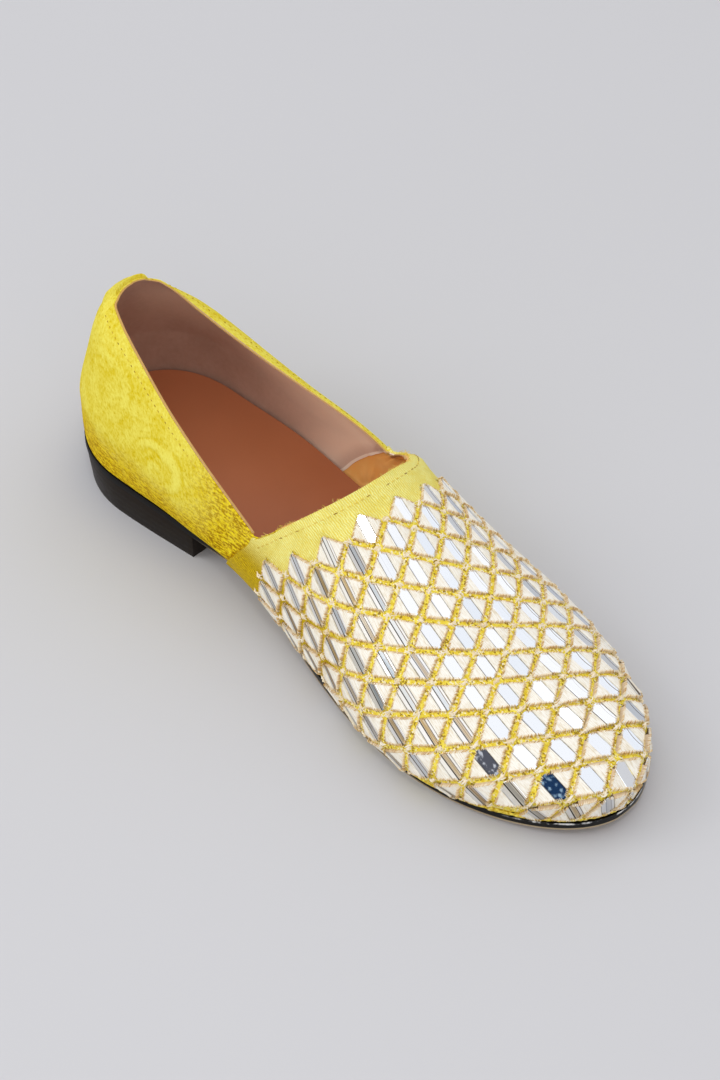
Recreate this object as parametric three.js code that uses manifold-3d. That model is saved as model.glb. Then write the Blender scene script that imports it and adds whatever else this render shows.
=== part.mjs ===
// A left slip-on slipper loafer in millimetres: toe along +X, wearer's left along +Y, up along +Z.
import * as THREE from 'three';
import Module from 'manifold-3d';

const wasm = await Module();
wasm.setup();

// Main sizes.
const LENGTH = 257;
const HEEL_CENTRE = 38;
const BALL_CENTRE = 182;
const SOLE_THICKNESS = 3.2;
const GAP = 0.3;
const WALL = 2;
const INSOLE_THICKNESS = 2;

// Half-widths along the shoe. The bulge is the widest line of the upper.
// The feather is its foot on the sole.
const WIDTHS = [
  { x: 0, bulgeMedial: 31, bulgeLateral: 31.5, featherMedial: 30, featherLateral: 30 },
  { x: HEEL_CENTRE, bulgeMedial: 31, bulgeLateral: 31.5, featherMedial: 30, featherLateral: 30 },
  { x: 72, bulgeMedial: 31.4, bulgeLateral: 34.1, featherMedial: 26.5, featherLateral: 33 },
  { x: 105, bulgeMedial: 30, bulgeLateral: 38.5, featherMedial: 22.2, featherLateral: 33.9 },
  { x: 142, bulgeMedial: 33.2, bulgeLateral: 39.2, featherMedial: 31.2, featherLateral: 37.5 },
  { x: BALL_CENTRE, bulgeMedial: 42.3, bulgeLateral: 40.2, featherMedial: 37.4, featherLateral: 39.7 },
  { x: LENGTH, bulgeMedial: 42.3, bulgeLateral: 40.2, featherMedial: 37.4, featherLateral: 39.7 },
];

// Heights above the feather line: the ridge of the closed last and its bulge.
// The fullness squares up the section between them.
const HEIGHTS = [
  { x: 0, ridge: 76.4, bulge: 18.5, fullness: 1.3 },
  { x: HEEL_CENTRE, ridge: 76.4, bulge: 18.5, fullness: 1.3 },
  { x: 75, ridge: 70, bulge: 16.2, fullness: 1.45 },
  { x: 110, ridge: 68, bulge: 13.4, fullness: 1.8 },
  { x: 142, ridge: 54.2, bulge: 11.3, fullness: 1.93 },
  { x: BALL_CENTRE, ridge: 39, bulge: 9.3, fullness: 2 },
  { x: 220, ridge: 27, bulge: 9.6, fullness: 2.04 },
  { x: LENGTH, ridge: 23, bulge: 10.4, fullness: 2.08 },
];

// The underside of the sole: height over the floor and how far its edge stands out from the feather line.
const SOLE = [
  { x: 0, under: 15.4, margin: 0.3 },
  { x: 60, under: 13.8, margin: 0.3 },
  { x: 95, under: 8.9, margin: 0.5 },
  { x: 130, under: 2.9, margin: 1.2 },
  { x: 162, under: 0, margin: 2 },
  { x: 200, under: 0, margin: 2.1 },
  { x: 225, under: 1.5, margin: 2.2 },
  { x: LENGTH, under: 4.9, margin: 2.2 },
];

// Top line of the quarters, seen from the side, from the back of the heel to the throat corner.
const COLLAR = [
  { x: 0, z: 83.8 },
  { x: 14, z: 82.8 },
  { x: 65, z: 58.3 },
  { x: 110, z: 37.6 },
];
const COLLAR_SKEW = -0.05;
const THROAT = { corner: 110, top: 136, bow: -1.3 };

// Smooth curve through one column of a table.
function column(rows, key) {
  const places = rows.map((row) => row.x);
  const values = rows.map((row) => row[key]);
  const curve = new THREE.CubicInterpolant(places, values, 1);
  return (x) => curve.evaluate(x)[0];
}

const bulgeMedial = column(WIDTHS, 'bulgeMedial');
const bulgeLateral = column(WIDTHS, 'bulgeLateral');
const featherMedial = column(WIDTHS, 'featherMedial');
const featherLateral = column(WIDTHS, 'featherLateral');
const ridgeHeight = column(HEIGHTS, 'ridge');
const bulgeHeight = column(HEIGHTS, 'bulge');
const fullness = column(HEIGHTS, 'fullness');
const underCurve = column(SOLE, 'under');
const margin = column(SOLE, 'margin');
const collarHeight = column(COLLAR, 'z');

const clamp = THREE.MathUtils.clamp;
const soleUnder = (x) => Math.max(0, underCurve(x));
const featherHeight = (x) => soleUnder(x) + SOLE_THICKNESS;

// Ends of the outline: rounded over the heel and over the toe.
const HEEL_POWER = 2.1;
const TOE_POWER = 1.9;
const TOE_SWING = -2.8;
const heelShare = (x) => clamp(1 - x / HEEL_CENTRE, 0, 1);
const toeShare = (x) => clamp((x - BALL_CENTRE) / (LENGTH - BALL_CENTRE), 0, 1);

function endRounding(x) {
  const heel = (1 - heelShare(x) ** HEEL_POWER) ** (1 / HEEL_POWER);
  const toe = (1 - toeShare(x) ** TOE_POWER) ** (1 / TOE_POWER);
  return heel * toe;
}

// An outline is walked by its turn: 0 at the heel, PI at the toe.
// It is negative on the medial side and positive on the lateral side.
const BULGE = { medial: bulgeMedial, lateral: bulgeLateral, heelTuck: 0, toeTuck: 0 };
const FEATHER = { medial: featherMedial, lateral: featherLateral, heelTuck: 2.5, toeTuck: 2.8 };
const stationOf = (turn) => LENGTH * (1 - Math.cos(turn)) / 2;
const turnOf = (x) => Math.acos(1 - 2 * x / LENGTH);

function outlinePoint(outline, turn) {
  const wrapped = turn > Math.PI ? turn - 2 * Math.PI : turn < -Math.PI ? turn + 2 * Math.PI : turn;
  const x = stationOf(wrapped);
  const half = wrapped < 0 ? -outline.medial(x) : outline.lateral(x);
  const shift = outline.heelTuck * heelShare(x) ** 2 - outline.toeTuck * toeShare(x) ** 2;
  return new THREE.Vector2(x + shift, half * endRounding(x) + TOE_SWING * toeShare(x) ** 2);
}

// The outline moved outward in plan.
const TURN_STEP = 0.004;
function grownOutline(outline, turn, grow) {
  const point = outlinePoint(outline, turn);
  const ahead = outlinePoint(outline, turn + TURN_STEP);
  const tangent = ahead.sub(outlinePoint(outline, turn - TURN_STEP)).normalize();
  return point.add(new THREE.Vector2(-tangent.y, tangent.x).multiplyScalar(grow));
}

// The closed last. Rise runs from the feather line (LOWEST) over the bulge (0) to the spine (HIGHEST).
const LOWEST = -75 * Math.PI / 180;
const HIGHEST = Math.PI / 2;
const SPINE_HEEL_Y = -4.4;
const SPINE_BALL_Y = 0.6;
const LATERAL_FULLNESS = { extra: 0.2, x: 110, reach: 75 };

function spineY(x) {
  return THREE.MathUtils.mapLinear(x, HEEL_CENTRE, BALL_CENTRE, SPINE_HEEL_Y, SPINE_BALL_Y);
}

function formPoint(turn, rise, grow = 0) {
  const station = stationOf(turn);
  const bulge = grownOutline(BULGE, turn, grow);
  const height = bulgeHeight(station);
  if (rise <= 0) {
    const foot = grownOutline(FEATHER, turn, grow);
    const tuck = (1 - Math.cos(rise)) / (1 - Math.cos(LOWEST));
    const plan = bulge.lerp(foot, tuck);
    const z = height * (1 - Math.sin(rise) / Math.sin(LOWEST));
    return new THREE.Vector3(plan.x, plan.y, featherHeight(plan.x) + z);
  }
  const spineX = clamp(station, HEEL_CENTRE, BALL_CENTRE);
  const near = clamp(1 - Math.abs(station - LATERAL_FULLNESS.x) / LATERAL_FULLNESS.reach, 0, 1);
  const power = fullness(station) + (turn > 0 ? LATERAL_FULLNESS.extra * near : 0);
  const out = rise < HIGHEST ? Math.cos(rise) ** (2 / power) : 0;
  const up = Math.sin(rise) ** (2 / power);
  const plan = new THREE.Vector2(spineX, spineY(spineX)).lerp(bulge, out);
  const z = height + (ridgeHeight(plan.x) + grow - height) * up;
  return new THREE.Vector3(plan.x, plan.y, featherHeight(plan.x) + z);
}

// A solid from its triangles: corners at one place are joined and flat triangles left out.
const PLACES_PER_MM = 1e4;
function solid(triangles) {
  const keys = new Map();
  const positions = [];
  const corners = [];
  for (const triangle of triangles) {
    const ids = triangle.map((point) => {
      const key = point.toArray().map((value) => Math.round(value * PLACES_PER_MM)).join();
      if (!keys.has(key)) {
        keys.set(key, keys.size);
        positions.push(point.x, point.y, point.z);
      }
      return keys.get(key);
    });
    if (new Set(ids).size === 3) corners.push(...ids);
  }
  const mesh = new wasm.Mesh({
    numProp: 3,
    vertProperties: new Float32Array(positions),
    triVerts: new Uint32Array(corners),
  });
  return new wasm.Manifold(mesh);
}

const quad = (a, b, c, d) => [[a, b, c], [a, c, d]];

// Closed stack of rings: walls between them and strips across the lowest and the highest ring.
const RING_STEPS = 72;
function ringTurn(step) {
  const part = 2 * Math.PI / RING_STEPS;
  return step <= RING_STEPS / 2 ? -part * step : part * (RING_STEPS - step);
}
const RING = Array.from({ length: RING_STEPS }, (_, step) => ringTurn(step));

function stripsAcross(ring) {
  const strips = [];
  const last = ring.length;
  for (let i = 0; i < last / 2; i += 1) {
    strips.push(...quad(ring[i], ring[i + 1], ring[last - i - 1], ring[(last - i) % last]));
  }
  return strips;
}

const flipped = (triangles) => triangles.map(([a, b, c]) => [a, c, b]);

function stackOfRings(rings, closedTop) {
  const triangles = [...flipped(stripsAcross(rings[0]))];
  for (let j = 0; j + 1 < rings.length; j += 1) {
    for (let i = 0; i < rings[j].length; i += 1) {
      const next = (i + 1) % rings[j].length;
      triangles.push(...quad(rings[j][i], rings[j][next], rings[j + 1][next], rings[j + 1][i]));
    }
  }
  if (closedTop) triangles.push(...stripsAcross(rings[rings.length - 1]));
  return solid(triangles);
}

// The last as a solid, grown or shrunk, with a skirt below the feather line where it has to cut through.
const LOW_STEPS = 3;
const HIGH_STEPS = 11;
const RISES = [
  ...Array.from({ length: LOW_STEPS }, (_, step) => LOWEST * (1 - step / LOW_STEPS)),
  ...Array.from({ length: HIGH_STEPS + 1 }, (_, step) => HIGHEST * step / HIGH_STEPS),
];

function lastSolid(grow, skirt) {
  const rings = RISES.map((rise) => RING.map((turn) => formPoint(turn, rise, grow)));
  if (skirt > 0) {
    rings.unshift(rings[0].map((point) => point.clone().setZ(point.z - skirt)));
  }
  return stackOfRings(rings, false);
}

// A side-view shape carried across the shoe, its height changing with y by the skew.
const CUT_HALF = 70;
function sidePrism(points, skew) {
  const at = (y) => points.map((point) => new THREE.Vector3(point.x, y, point.y + skew * y));
  const medial = at(-CUT_HALF);
  const lateral = at(CUT_HALF);
  const triangles = [];
  for (const [a, b, c] of THREE.ShapeUtils.triangulateShape(points, [])) {
    triangles.push([medial[a], medial[b], medial[c]], [lateral[a], lateral[c], lateral[b]]);
  }
  for (let i = 0; i < points.length; i += 1) {
    const next = (i + 1) % points.length;
    triangles.push(...quad(medial[i], lateral[i], lateral[next], medial[next]));
  }
  return solid(triangles);
}

function steps(from, to, count) {
  return Array.from({ length: count + 1 }, (_, i) => from + (to - from) * i / count);
}

// Opening for the foot: above the top line of the quarters and behind the throat edge.
const ABOVE = 120;
const BEHIND = -30;
const COLLAR_STEPS = 24;
const THROAT_CUT = { from: 0.1, to: 1.4, steps: 13 };
function throatPoint(share) {
  const start = new THREE.Vector2(THROAT.corner, collarHeight(THROAT.corner));
  const top = ridgeHeight(THROAT.top) + featherHeight(THROAT.top);
  const point = start.lerp(new THREE.Vector2(THROAT.top, top), share);
  point.x += THROAT.bow * 4 * share * (1 - share);
  return point;
}

function openingCutter() {
  const collar = steps(BEHIND, THROAT.corner, COLLAR_STEPS).map((x) => new THREE.Vector2(x, collarHeight(x)));
  const throat = steps(THROAT_CUT.from, THROAT_CUT.to, THROAT_CUT.steps).map(throatPoint);
  const roof = [new THREE.Vector2(throat[throat.length - 1].x, ABOVE), new THREE.Vector2(BEHIND, ABOVE)];
  return sidePrism([...collar, ...throat, ...roof], COLLAR_SKEW);
}

// The vamp laps over the quarters: a step in the wall, ending at a seam down from each throat corner.
const VAMP_STEP = 0.8;
const SEAM_FOOT = 103;
const SEAM_LIFT = 0.6;
const SEAM_HEAD = { behind: 1, below: 2 };
const SEAM_STEPS = 18;
const AHEAD = LENGTH + 12;
function vampRegion() {
  const lifted = (x) => new THREE.Vector2(x, featherHeight(x) + SEAM_LIFT);
  const foot = steps(SEAM_FOOT, AHEAD, SEAM_STEPS).map(lifted);
  const headX = THROAT.corner - SEAM_HEAD.behind;
  const headZ = collarHeight(THROAT.corner) - SEAM_HEAD.below;
  const back = [
    new THREE.Vector2(AHEAD, ABOVE),
    new THREE.Vector2(headX, ABOVE),
    new THREE.Vector2(headX, headZ),
  ];
  return sidePrism([...foot, ...back], COLLAR_SKEW);
}

const SKIRT = 8;
function makeUpper() {
  const quarters = lastSolid(0, 0);
  const vamp = lastSolid(VAMP_STEP, 0).intersect(vampRegion());
  return quarters.add(vamp).subtract(lastSolid(-WALL, SKIRT)).subtract(openingCutter());
}

// Sole: the edge is a narrow band with eased corners, level 0 at the floor side and 1 at the upper.
const SOLE_EDGE = [
  { inset: 0.7, level: 0 },
  { inset: 0, level: 0.22 },
  { inset: 0, level: 0.78 },
  { inset: 0.5, level: 1 },
];
function solePlan(turn, inset) {
  const x = outlinePoint(FEATHER, turn).x;
  return grownOutline(FEATHER, turn, margin(x) - inset);
}

function makeOutsole() {
  const rings = SOLE_EDGE.map(({ inset, level }) => RING.map((turn) => {
    const plan = solePlan(turn, inset);
    const z = soleUnder(plan.x) + level * (SOLE_THICKNESS - GAP);
    return new THREE.Vector3(plan.x, plan.y, z);
  }));
  return stackOfRings(rings, true);
}

// Heel block under the seat, flat across its breast, drawn in a little towards the floor.
const BREAST = 74.5;
const HEEL_STEPS = 18;
const HEEL_EDGE = [
  { inset: 1.5, level: 0, breast: BREAST - 1.4 },
  { inset: 1.1, level: 0.06, breast: BREAST - 1 },
  { inset: 0.2, level: 1, breast: BREAST },
];
function makeHeel() {
  const rings = HEEL_EDGE.map(({ inset, level, breast }) => {
    const end = turnOf(breast);
    const turns = steps(0, end, HEEL_STEPS);
    const medial = turns.map((turn) => -turn);
    const lateral = turns.slice(1).reverse();
    return [...medial, ...lateral].map((turn) => {
      const plan = solePlan(turn, inset);
      return new THREE.Vector3(plan.x, plan.y, level * (soleUnder(plan.x) - GAP));
    });
  });
  return stackOfRings(rings, true);
}

// Insole: the foot of the space inside the wall, filled to its own thickness.
const INSOLE_STEPS = 40;
function makeInsole() {
  const under = [new THREE.Vector2(BEHIND, -ABOVE), new THREE.Vector2(AHEAD, -ABOVE)];
  const top = (x) => new THREE.Vector2(x, featherHeight(x) + INSOLE_THICKNESS);
  const over = steps(AHEAD, BEHIND, INSOLE_STEPS).map(top);
  return lastSolid(-WALL - GAP, 0).intersect(sidePrism([...under, ...over], 0));
}

// Value between two bounds where a rising function reaches zero.
const HALVINGS = 40;
function solve(low, high, value) {
  let from = low;
  let to = high;
  for (let pass = 0; pass < HALVINGS; pass += 1) {
    const middle = (from + to) / 2;
    if (value(middle) < 0) from = middle;
    else to = middle;
  }
  return (from + to) / 2;
}

// A patch with thickness: under and over are grids of points with the same rows and columns.
function patchSolid(under, over) {
  const rows = under.length;
  const columns = under[0].length;
  const triangles = [];
  const rim = [];
  for (let j = 0; j + 1 < rows; j += 1) {
    for (let i = 0; i + 1 < columns; i += 1) {
      triangles.push(...quad(over[j][i], over[j][i + 1], over[j + 1][i + 1], over[j + 1][i]));
      triangles.push(...flipped(quad(under[j][i], under[j][i + 1], under[j + 1][i + 1], under[j + 1][i])));
    }
  }
  for (let i = 0; i + 1 < columns; i += 1) rim.push([0, i]);
  for (let j = 0; j + 1 < rows; j += 1) rim.push([j, columns - 1]);
  for (let i = columns - 1; i > 0; i -= 1) rim.push([rows - 1, i]);
  for (let j = rows - 1; j > 0; j -= 1) rim.push([j, 0]);
  rim.forEach(([j, i], place) => {
    const [nextJ, nextI] = rim[(place + 1) % rim.length];
    triangles.push(...quad(under[j][i], under[nextJ][nextI], over[nextJ][nextI], over[j][i]));
  });
  return solid(triangles);
}

// Strap up the back of the heel, standing a little above the top line.
const TAB = { topHalf: 7.2, footHalf: 6.2, topY: -3.4, footY: -1.5, thickness: 2.3, above: 2.4 };
const TAB_LOWEST = LOWEST * 0.9;
const TAB_HIGHEST = HIGHEST * 0.95;
const TAB_WIDEST_TURN = 0.9;
const TAB_ROWS = 10;
const TAB_COLUMNS = 6;
function tabPoint(across, along, grow) {
  const lerp = THREE.MathUtils.lerp;
  const wanted = lerp(TAB.footY, TAB.topY, along) + lerp(TAB.footHalf, TAB.topHalf, along) * across;
  const at = (turn, rise) => formPoint(turn, rise, grow);
  const overTop = (turn) => (rise) => {
    const point = at(turn, rise);
    return point.z - collarHeight(point.x) - COLLAR_SKEW * point.y - TAB.above;
  };
  const riseFor = (turn) => lerp(TAB_LOWEST, solve(0, TAB_HIGHEST, overTop(turn)), along);
  const miss = (turn) => at(turn, riseFor(turn)).y - wanted;
  const turn = solve(-TAB_WIDEST_TURN, TAB_WIDEST_TURN, miss);
  return at(turn, riseFor(turn));
}

function makeHeelTab() {
  const grid = (grow) => steps(0, 1, TAB_ROWS).map((along) => (
    steps(1, -1, TAB_COLUMNS).map((across) => tabPoint(across, along, grow))));
  return patchSolid(grid(GAP), grid(GAP + TAB.thickness)).subtract(lastSolid(GAP, 0));
}

// Flat pattern of the vamp: "along" runs down the ridge from the ball, "aside" runs round the section.
const SPINE_FROM = 100;
const SPINE_STEPS = 80;
const spineStations = steps(SPINE_FROM, BALL_CENTRE, SPINE_STEPS);
const spinePoint = (x) => new THREE.Vector2(x, ridgeHeight(x) + featherHeight(x));
const spineLengths = [0];
for (let i = 1; i < spineStations.length; i += 1) {
  const step = spinePoint(spineStations[i]).distanceTo(spinePoint(spineStations[i - 1]));
  spineLengths.push(spineLengths[i - 1] + step);
}

function turnForPattern(along, aside) {
  const side = aside < 0 ? -1 : 1;
  if (along <= 0) {
    const length = spineLengths[spineLengths.length - 1] + along;
    const place = clamp(spineLengths.findIndex((value) => value >= length), 1, spineLengths.length - 1);
    const share = (length - spineLengths[place - 1]) / (spineLengths[place] - spineLengths[place - 1]);
    return side * turnOf(THREE.MathUtils.lerp(spineStations[place - 1], spineStations[place], share));
  }
  const wanted = Math.atan2(Math.abs(aside), along);
  return side * solve(turnOf(BALL_CENTRE), Math.PI, (turn) => {
    const point = outlinePoint(BULGE, side * turn);
    return wanted - Math.atan2(side * (point.y - SPINE_BALL_Y), point.x - BALL_CENTRE);
  });
}

// Rise on the vamp at a distance from the spine, kept clear of the feather line.
const PROFILE_STEPS = 60;
const PROFILE_RISES = steps(HIGHEST, LOWEST, PROFILE_STEPS);
const FEATHER_CLEAR = 1.2;
function riseForDistance(turn, distance) {
  const line = PROFILE_RISES.map((rise) => formPoint(turn, rise, VAMP_STEP));
  const lengths = [0];
  for (let i = 1; i < line.length; i += 1) lengths.push(lengths[i - 1] + line[i].distanceTo(line[i - 1]));
  const whole = lengths[lengths.length - 1] - FEATHER_CLEAR;
  const reach = Math.min(distance, whole);
  const place = clamp(lengths.findIndex((value) => value >= reach), 1, lengths.length - 1);
  const share = (reach - lengths[place - 1]) / (lengths[place] - lengths[place - 1]);
  const rise = THREE.MathUtils.lerp(PROFILE_RISES[place - 1], PROFILE_RISES[place], share);
  return { rise, spare: whole - distance };
}

// Lattice of the mirror diamonds, by row from the throat to the toe.
const LATTICE = [
  { x: -3, along: -51, aside: 7, spacing: 13.6, slant: 0.07, bow: 0.0086 },
  { x: -1, along: -37.4, aside: 4.8, spacing: 14.3, slant: 0.06, bow: 0.008 },
  { x: 5, along: 3.1, aside: -1.6, spacing: 16.4, slant: 0.04, bow: 0.006 },
  { x: 11, along: 38, aside: -3, spacing: 19.8, slant: 0, bow: 0.002 },
  { x: 17, along: 75.5, aside: -2.8, spacing: 20.2, slant: -0.1, bow: 0.002 },
  { x: 23, along: 112.5, aside: -2.8, spacing: 20.2, slant: -0.1, bow: 0.002 },
];
const latticeAlong = column(LATTICE, 'along');
const latticeAside = column(LATTICE, 'aside');
const latticeSpacing = column(LATTICE, 'spacing');
const latticeSlant = column(LATTICE, 'slant');
const latticeBow = column(LATTICE, 'bow');

function latticePlace(row, place) {
  const off = (place - 1) / 2 * latticeSpacing(row);
  const along = latticeAlong(row) + latticeSlant(row) * off - latticeBow(row) * off * off;
  const aside = latticeAside(row) + off;
  const turn = turnForPattern(along, aside);
  const distance = along <= 0 ? Math.abs(aside) : Math.hypot(along, aside);
  return { along, turn, ...riseForDistance(turn, distance) };
}

// Each diamond is a low pad: a strip along the shoe between two sloping flanks, cut off at each corner.
// Its half and cut are shares of the lattice, its clear, strip and flank are heights.
const DIAMOND = { half: 0.82, cut: 0.11, clear: 0.2, strip: 1.1, flank: 0.7 };
const DIAMOND_FIRST_ROW = -1;
const DIAMOND_LAST_ROW = 21;
const DIAMOND_WIDEST = 9;
const DIAMOND_SPARE = 1.5;
const DIAMOND_REAR = -70;
const CORNERS = {
  back: [[-1, 1], [-1, -1]],
  medial: [[-1, -1], [1, -1]],
  front: [[1, -1], [1, 1]],
  lateral: [[1, 1], [-1, 1]],
};

function diamondCorner(row, place, name, index) {
  const [alongSign, asideSign] = CORNERS[name][index];
  const far = DIAMOND.half - DIAMOND.cut;
  const lengthwise = name === 'back' || name === 'front';
  const spot = lengthwise
    ? latticePlace(row + alongSign * far, place + asideSign * DIAMOND.cut)
    : latticePlace(row + alongSign * DIAMOND.cut, place + asideSign * far);
  const base = VAMP_STEP + GAP + DIAMOND.clear;
  const height = lengthwise ? DIAMOND.strip : DIAMOND.flank;
  return {
    under: formPoint(spot.turn, spot.rise, base),
    over: formPoint(spot.turn, spot.rise, base + height),
  };
}

function makeDiamonds() {
  const found = new Map();
  for (let row = DIAMOND_FIRST_ROW; row <= DIAMOND_LAST_ROW; row += 1) {
    for (let place = -DIAMOND_WIDEST; place <= DIAMOND_WIDEST; place += 1) {
      if ((row + place) % 2 !== 0) continue;
      const { along, spare } = latticePlace(row, place);
      if (along > DIAMOND_REAR && spare > DIAMOND_SPARE) found.set(`${row},${place}`, { row, place });
    }
  }
  return found;
}

// Diamonds joined at their corners by the knots between them, one net over the vamp.
const NEIGHBOURS = [
  { row: -1, place: 0, corner: 'front' },
  { row: 0, place: -1, corner: 'lateral' },
  { row: 1, place: 0, corner: 'back' },
  { row: 0, place: 1, corner: 'medial' },
];

function makeMirrorNet() {
  const diamonds = makeDiamonds();
  for (const diamond of diamonds.values()) {
    for (const name of Object.keys(CORNERS)) {
      diamond[name] = [0, 1].map((index) => diamondCorner(diamond.row, diamond.place, name, index));
    }
  }
  const triangles = [];
  const joined = new Set();
  const wall = (a, b) => triangles.push(...quad(a.under, b.under, b.over, a.over));
  const sheet = (points) => {
    for (let i = 1; i + 1 < points.length; i += 1) {
      triangles.push([points[0].over, points[i].over, points[i + 1].over]);
      triangles.push([points[0].under, points[i + 1].under, points[i].under]);
    }
  };
  for (let row = DIAMOND_FIRST_ROW - 1; row <= DIAMOND_LAST_ROW + 1; row += 1) {
    for (let place = -DIAMOND_WIDEST - 1; place <= DIAMOND_WIDEST + 1; place += 1) {
      if ((row + place) % 2 === 0) continue;
      const around = NEIGHBOURS.map((step) => ({
        ...step, diamond: diamonds.get(`${row + step.row},${place + step.place}`),
      })).filter((step) => step.diamond);
      if (around.length < 2) continue;
      const knot = [];
      for (const { diamond, corner } of around) {
        knot.push(diamond[corner][1], diamond[corner][0]);
        joined.add(`${diamond.row},${diamond.place},${corner}`);
      }
      sheet(knot);
      for (let i = 1; i < knot.length; i += 2) wall(knot[i], knot[(i + 1) % knot.length]);
    }
  }
  for (const diamond of diamonds.values()) {
    const { back, medial, front, lateral } = diamond;
    sheet([back[1], front[0], front[1], back[0]]);
    sheet([back[1], medial[0], medial[1], front[0]]);
    sheet([front[1], lateral[0], lateral[1], back[0]]);
    wall(back[1], medial[0]);
    wall(medial[1], front[0]);
    wall(front[1], lateral[0]);
    wall(lateral[1], back[0]);
    for (const name of Object.keys(CORNERS)) {
      if (!joined.has(`${diamond.row},${diamond.place},${name}`)) wall(diamond[name][0], diamond[name][1]);
    }
  }
  return solid(triangles).subtract(lastSolid(VAMP_STEP + GAP, 0));
}

// Pieces with their colours. Slivers finer than this are merged away.
const FINENESS = 0.02;
const PIECES = [
  { name: 'outsole', make: makeOutsole, color: 0x17130f, roughness: 0.3, metalness: 0 },
  { name: 'heel', make: makeHeel, color: 0x1d1a18, roughness: 0.4, metalness: 0 },
  { name: 'insole', make: makeInsole, color: 0x8f5231, roughness: 0.5, metalness: 0 },
  { name: 'upper', make: makeUpper, color: 0xd8bf2c, roughness: 0.8, metalness: 0 },
  { name: 'heel_tab', make: makeHeelTab, color: 0xcfb428, roughness: 0.8, metalness: 0 },
  { name: 'mirror_net', make: makeMirrorNet, color: 0xe9dcc4, roughness: 0.4, metalness: 0.2 },
];

const shoe = new THREE.Group();
shoe.name = 'slipper_loafer_left';
for (const { name, make, color, roughness, metalness } of PIECES) {
  const { vertProperties, triVerts } = make().asOriginal().simplify(FINENESS).getMesh();
  const geometry = new THREE.BufferGeometry();
  geometry.setAttribute('position', new THREE.BufferAttribute(new Float32Array(vertProperties), 3));
  geometry.setIndex(new THREE.BufferAttribute(new Uint32Array(triVerts), 1));
  const mesh = new THREE.Mesh(geometry, new THREE.MeshStandardMaterial({ color, roughness, metalness }));
  mesh.name = name;
  shoe.add(mesh);
}

// Middle of the floor under the shoe is the origin.
const middle = new THREE.Box3().setFromObject(shoe).getCenter(new THREE.Vector3());
for (const mesh of shoe.children) {
  mesh.geometry.translate(-middle.x, -middle.y, 0);
  mesh.geometry.computeVertexNormals();
}

export default shoe;
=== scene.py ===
import math

import bpy
import numpy as np
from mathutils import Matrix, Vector


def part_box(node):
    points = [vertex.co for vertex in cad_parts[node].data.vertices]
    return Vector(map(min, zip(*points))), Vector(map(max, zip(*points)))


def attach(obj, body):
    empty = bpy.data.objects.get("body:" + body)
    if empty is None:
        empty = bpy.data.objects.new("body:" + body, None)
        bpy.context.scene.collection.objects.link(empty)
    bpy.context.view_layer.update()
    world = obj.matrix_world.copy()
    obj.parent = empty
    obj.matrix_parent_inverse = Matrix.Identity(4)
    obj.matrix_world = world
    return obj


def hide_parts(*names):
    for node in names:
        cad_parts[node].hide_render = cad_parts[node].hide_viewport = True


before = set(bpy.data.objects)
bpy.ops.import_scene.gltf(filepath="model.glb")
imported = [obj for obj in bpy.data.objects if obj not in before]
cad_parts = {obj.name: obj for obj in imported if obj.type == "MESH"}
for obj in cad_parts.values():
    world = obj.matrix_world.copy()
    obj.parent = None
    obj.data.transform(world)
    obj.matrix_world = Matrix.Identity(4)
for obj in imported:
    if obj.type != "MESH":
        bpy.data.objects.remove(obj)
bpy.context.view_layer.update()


# Outsole: one thin leather sole cut to the outline of the last, arched at the waist, with a little
# toe spring. The edge is trimmed, rounded over, inked black and polished; the underside stays tan.
LENGTH = 257.0
HEEL_CENTRE = 38.0
BALL_CENTRE = 182.0
SOLE_THICKNESS = 3.2
LAYER_GAP = 0.3
FRAME_MIDDLE = np.array([128.366, -1.263, 0.0])
HEEL_POWER = 2.1
TOE_POWER = 1.9
TOE_SWING = -2.8


def smooth_curve(stations, values):
    """The maker's smooth curve through a short table, level beyond its ends."""
    stations = np.array(stations, float)
    values = np.array(values, float)
    last = len(stations) - 1

    def at(x):
        x = np.clip(np.asarray(x, float), stations[0], stations[-1])
        after = np.clip(np.searchsorted(stations, x, side="right"), 1, last)
        before = after - 1
        previous = np.where(after > 1, after - 2, after)
        following = np.where(after < last, after + 1, before)
        span = stations[after] - stations[before]
        share = (x - stations[before]) / span
        lead = 0.5 * span / (stations[before] - stations[previous])
        trail = 0.5 * span / (stations[following] - stations[after])
        square, cube = share ** 2, share ** 3
        return (values[previous] * lead * (-cube + 2 * square - share)
                + values[before] * ((1 + lead) * cube - (1.5 + 2 * lead) * square + (lead - 0.5) * share + 1)
                + values[after] * (-(1 + trail) * cube + (1.5 + trail) * square + 0.5 * share)
                + values[following] * trail * (cube - square))

    return at


WIDTH_STATIONS = (0, HEEL_CENTRE, 72, 105, 142, BALL_CENTRE, LENGTH)
SOLE_STATIONS = (0, 60, 95, 130, 162, 200, 225, LENGTH)
feather_medial = smooth_curve(WIDTH_STATIONS, (30, 30, 26.5, 22.2, 31.2, 37.4, 37.4))
feather_lateral = smooth_curve(WIDTH_STATIONS, (30, 30, 33, 33.9, 37.5, 39.7, 39.7))
sole_margin = smooth_curve(SOLE_STATIONS, (0.3, 0.3, 0.5, 1.2, 2, 2.2, 2.8, 3.3))
sole_curve = smooth_curve(SOLE_STATIONS, (15.4, 13.8, 8.9, 2.9, 0, 0, 1.5, 4.9))
FEATHER = {"medial": feather_medial, "lateral": feather_lateral, "heel_tuck": 2.5, "toe_tuck": 2.8}


def sole_under(x):
    return np.maximum(0, sole_curve(x))


def station_of(turn):
    return LENGTH * (1 - np.cos(turn)) / 2


def turn_of(station):
    return np.arccos(1 - 2 * np.asarray(station, float) / LENGTH)


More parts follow.
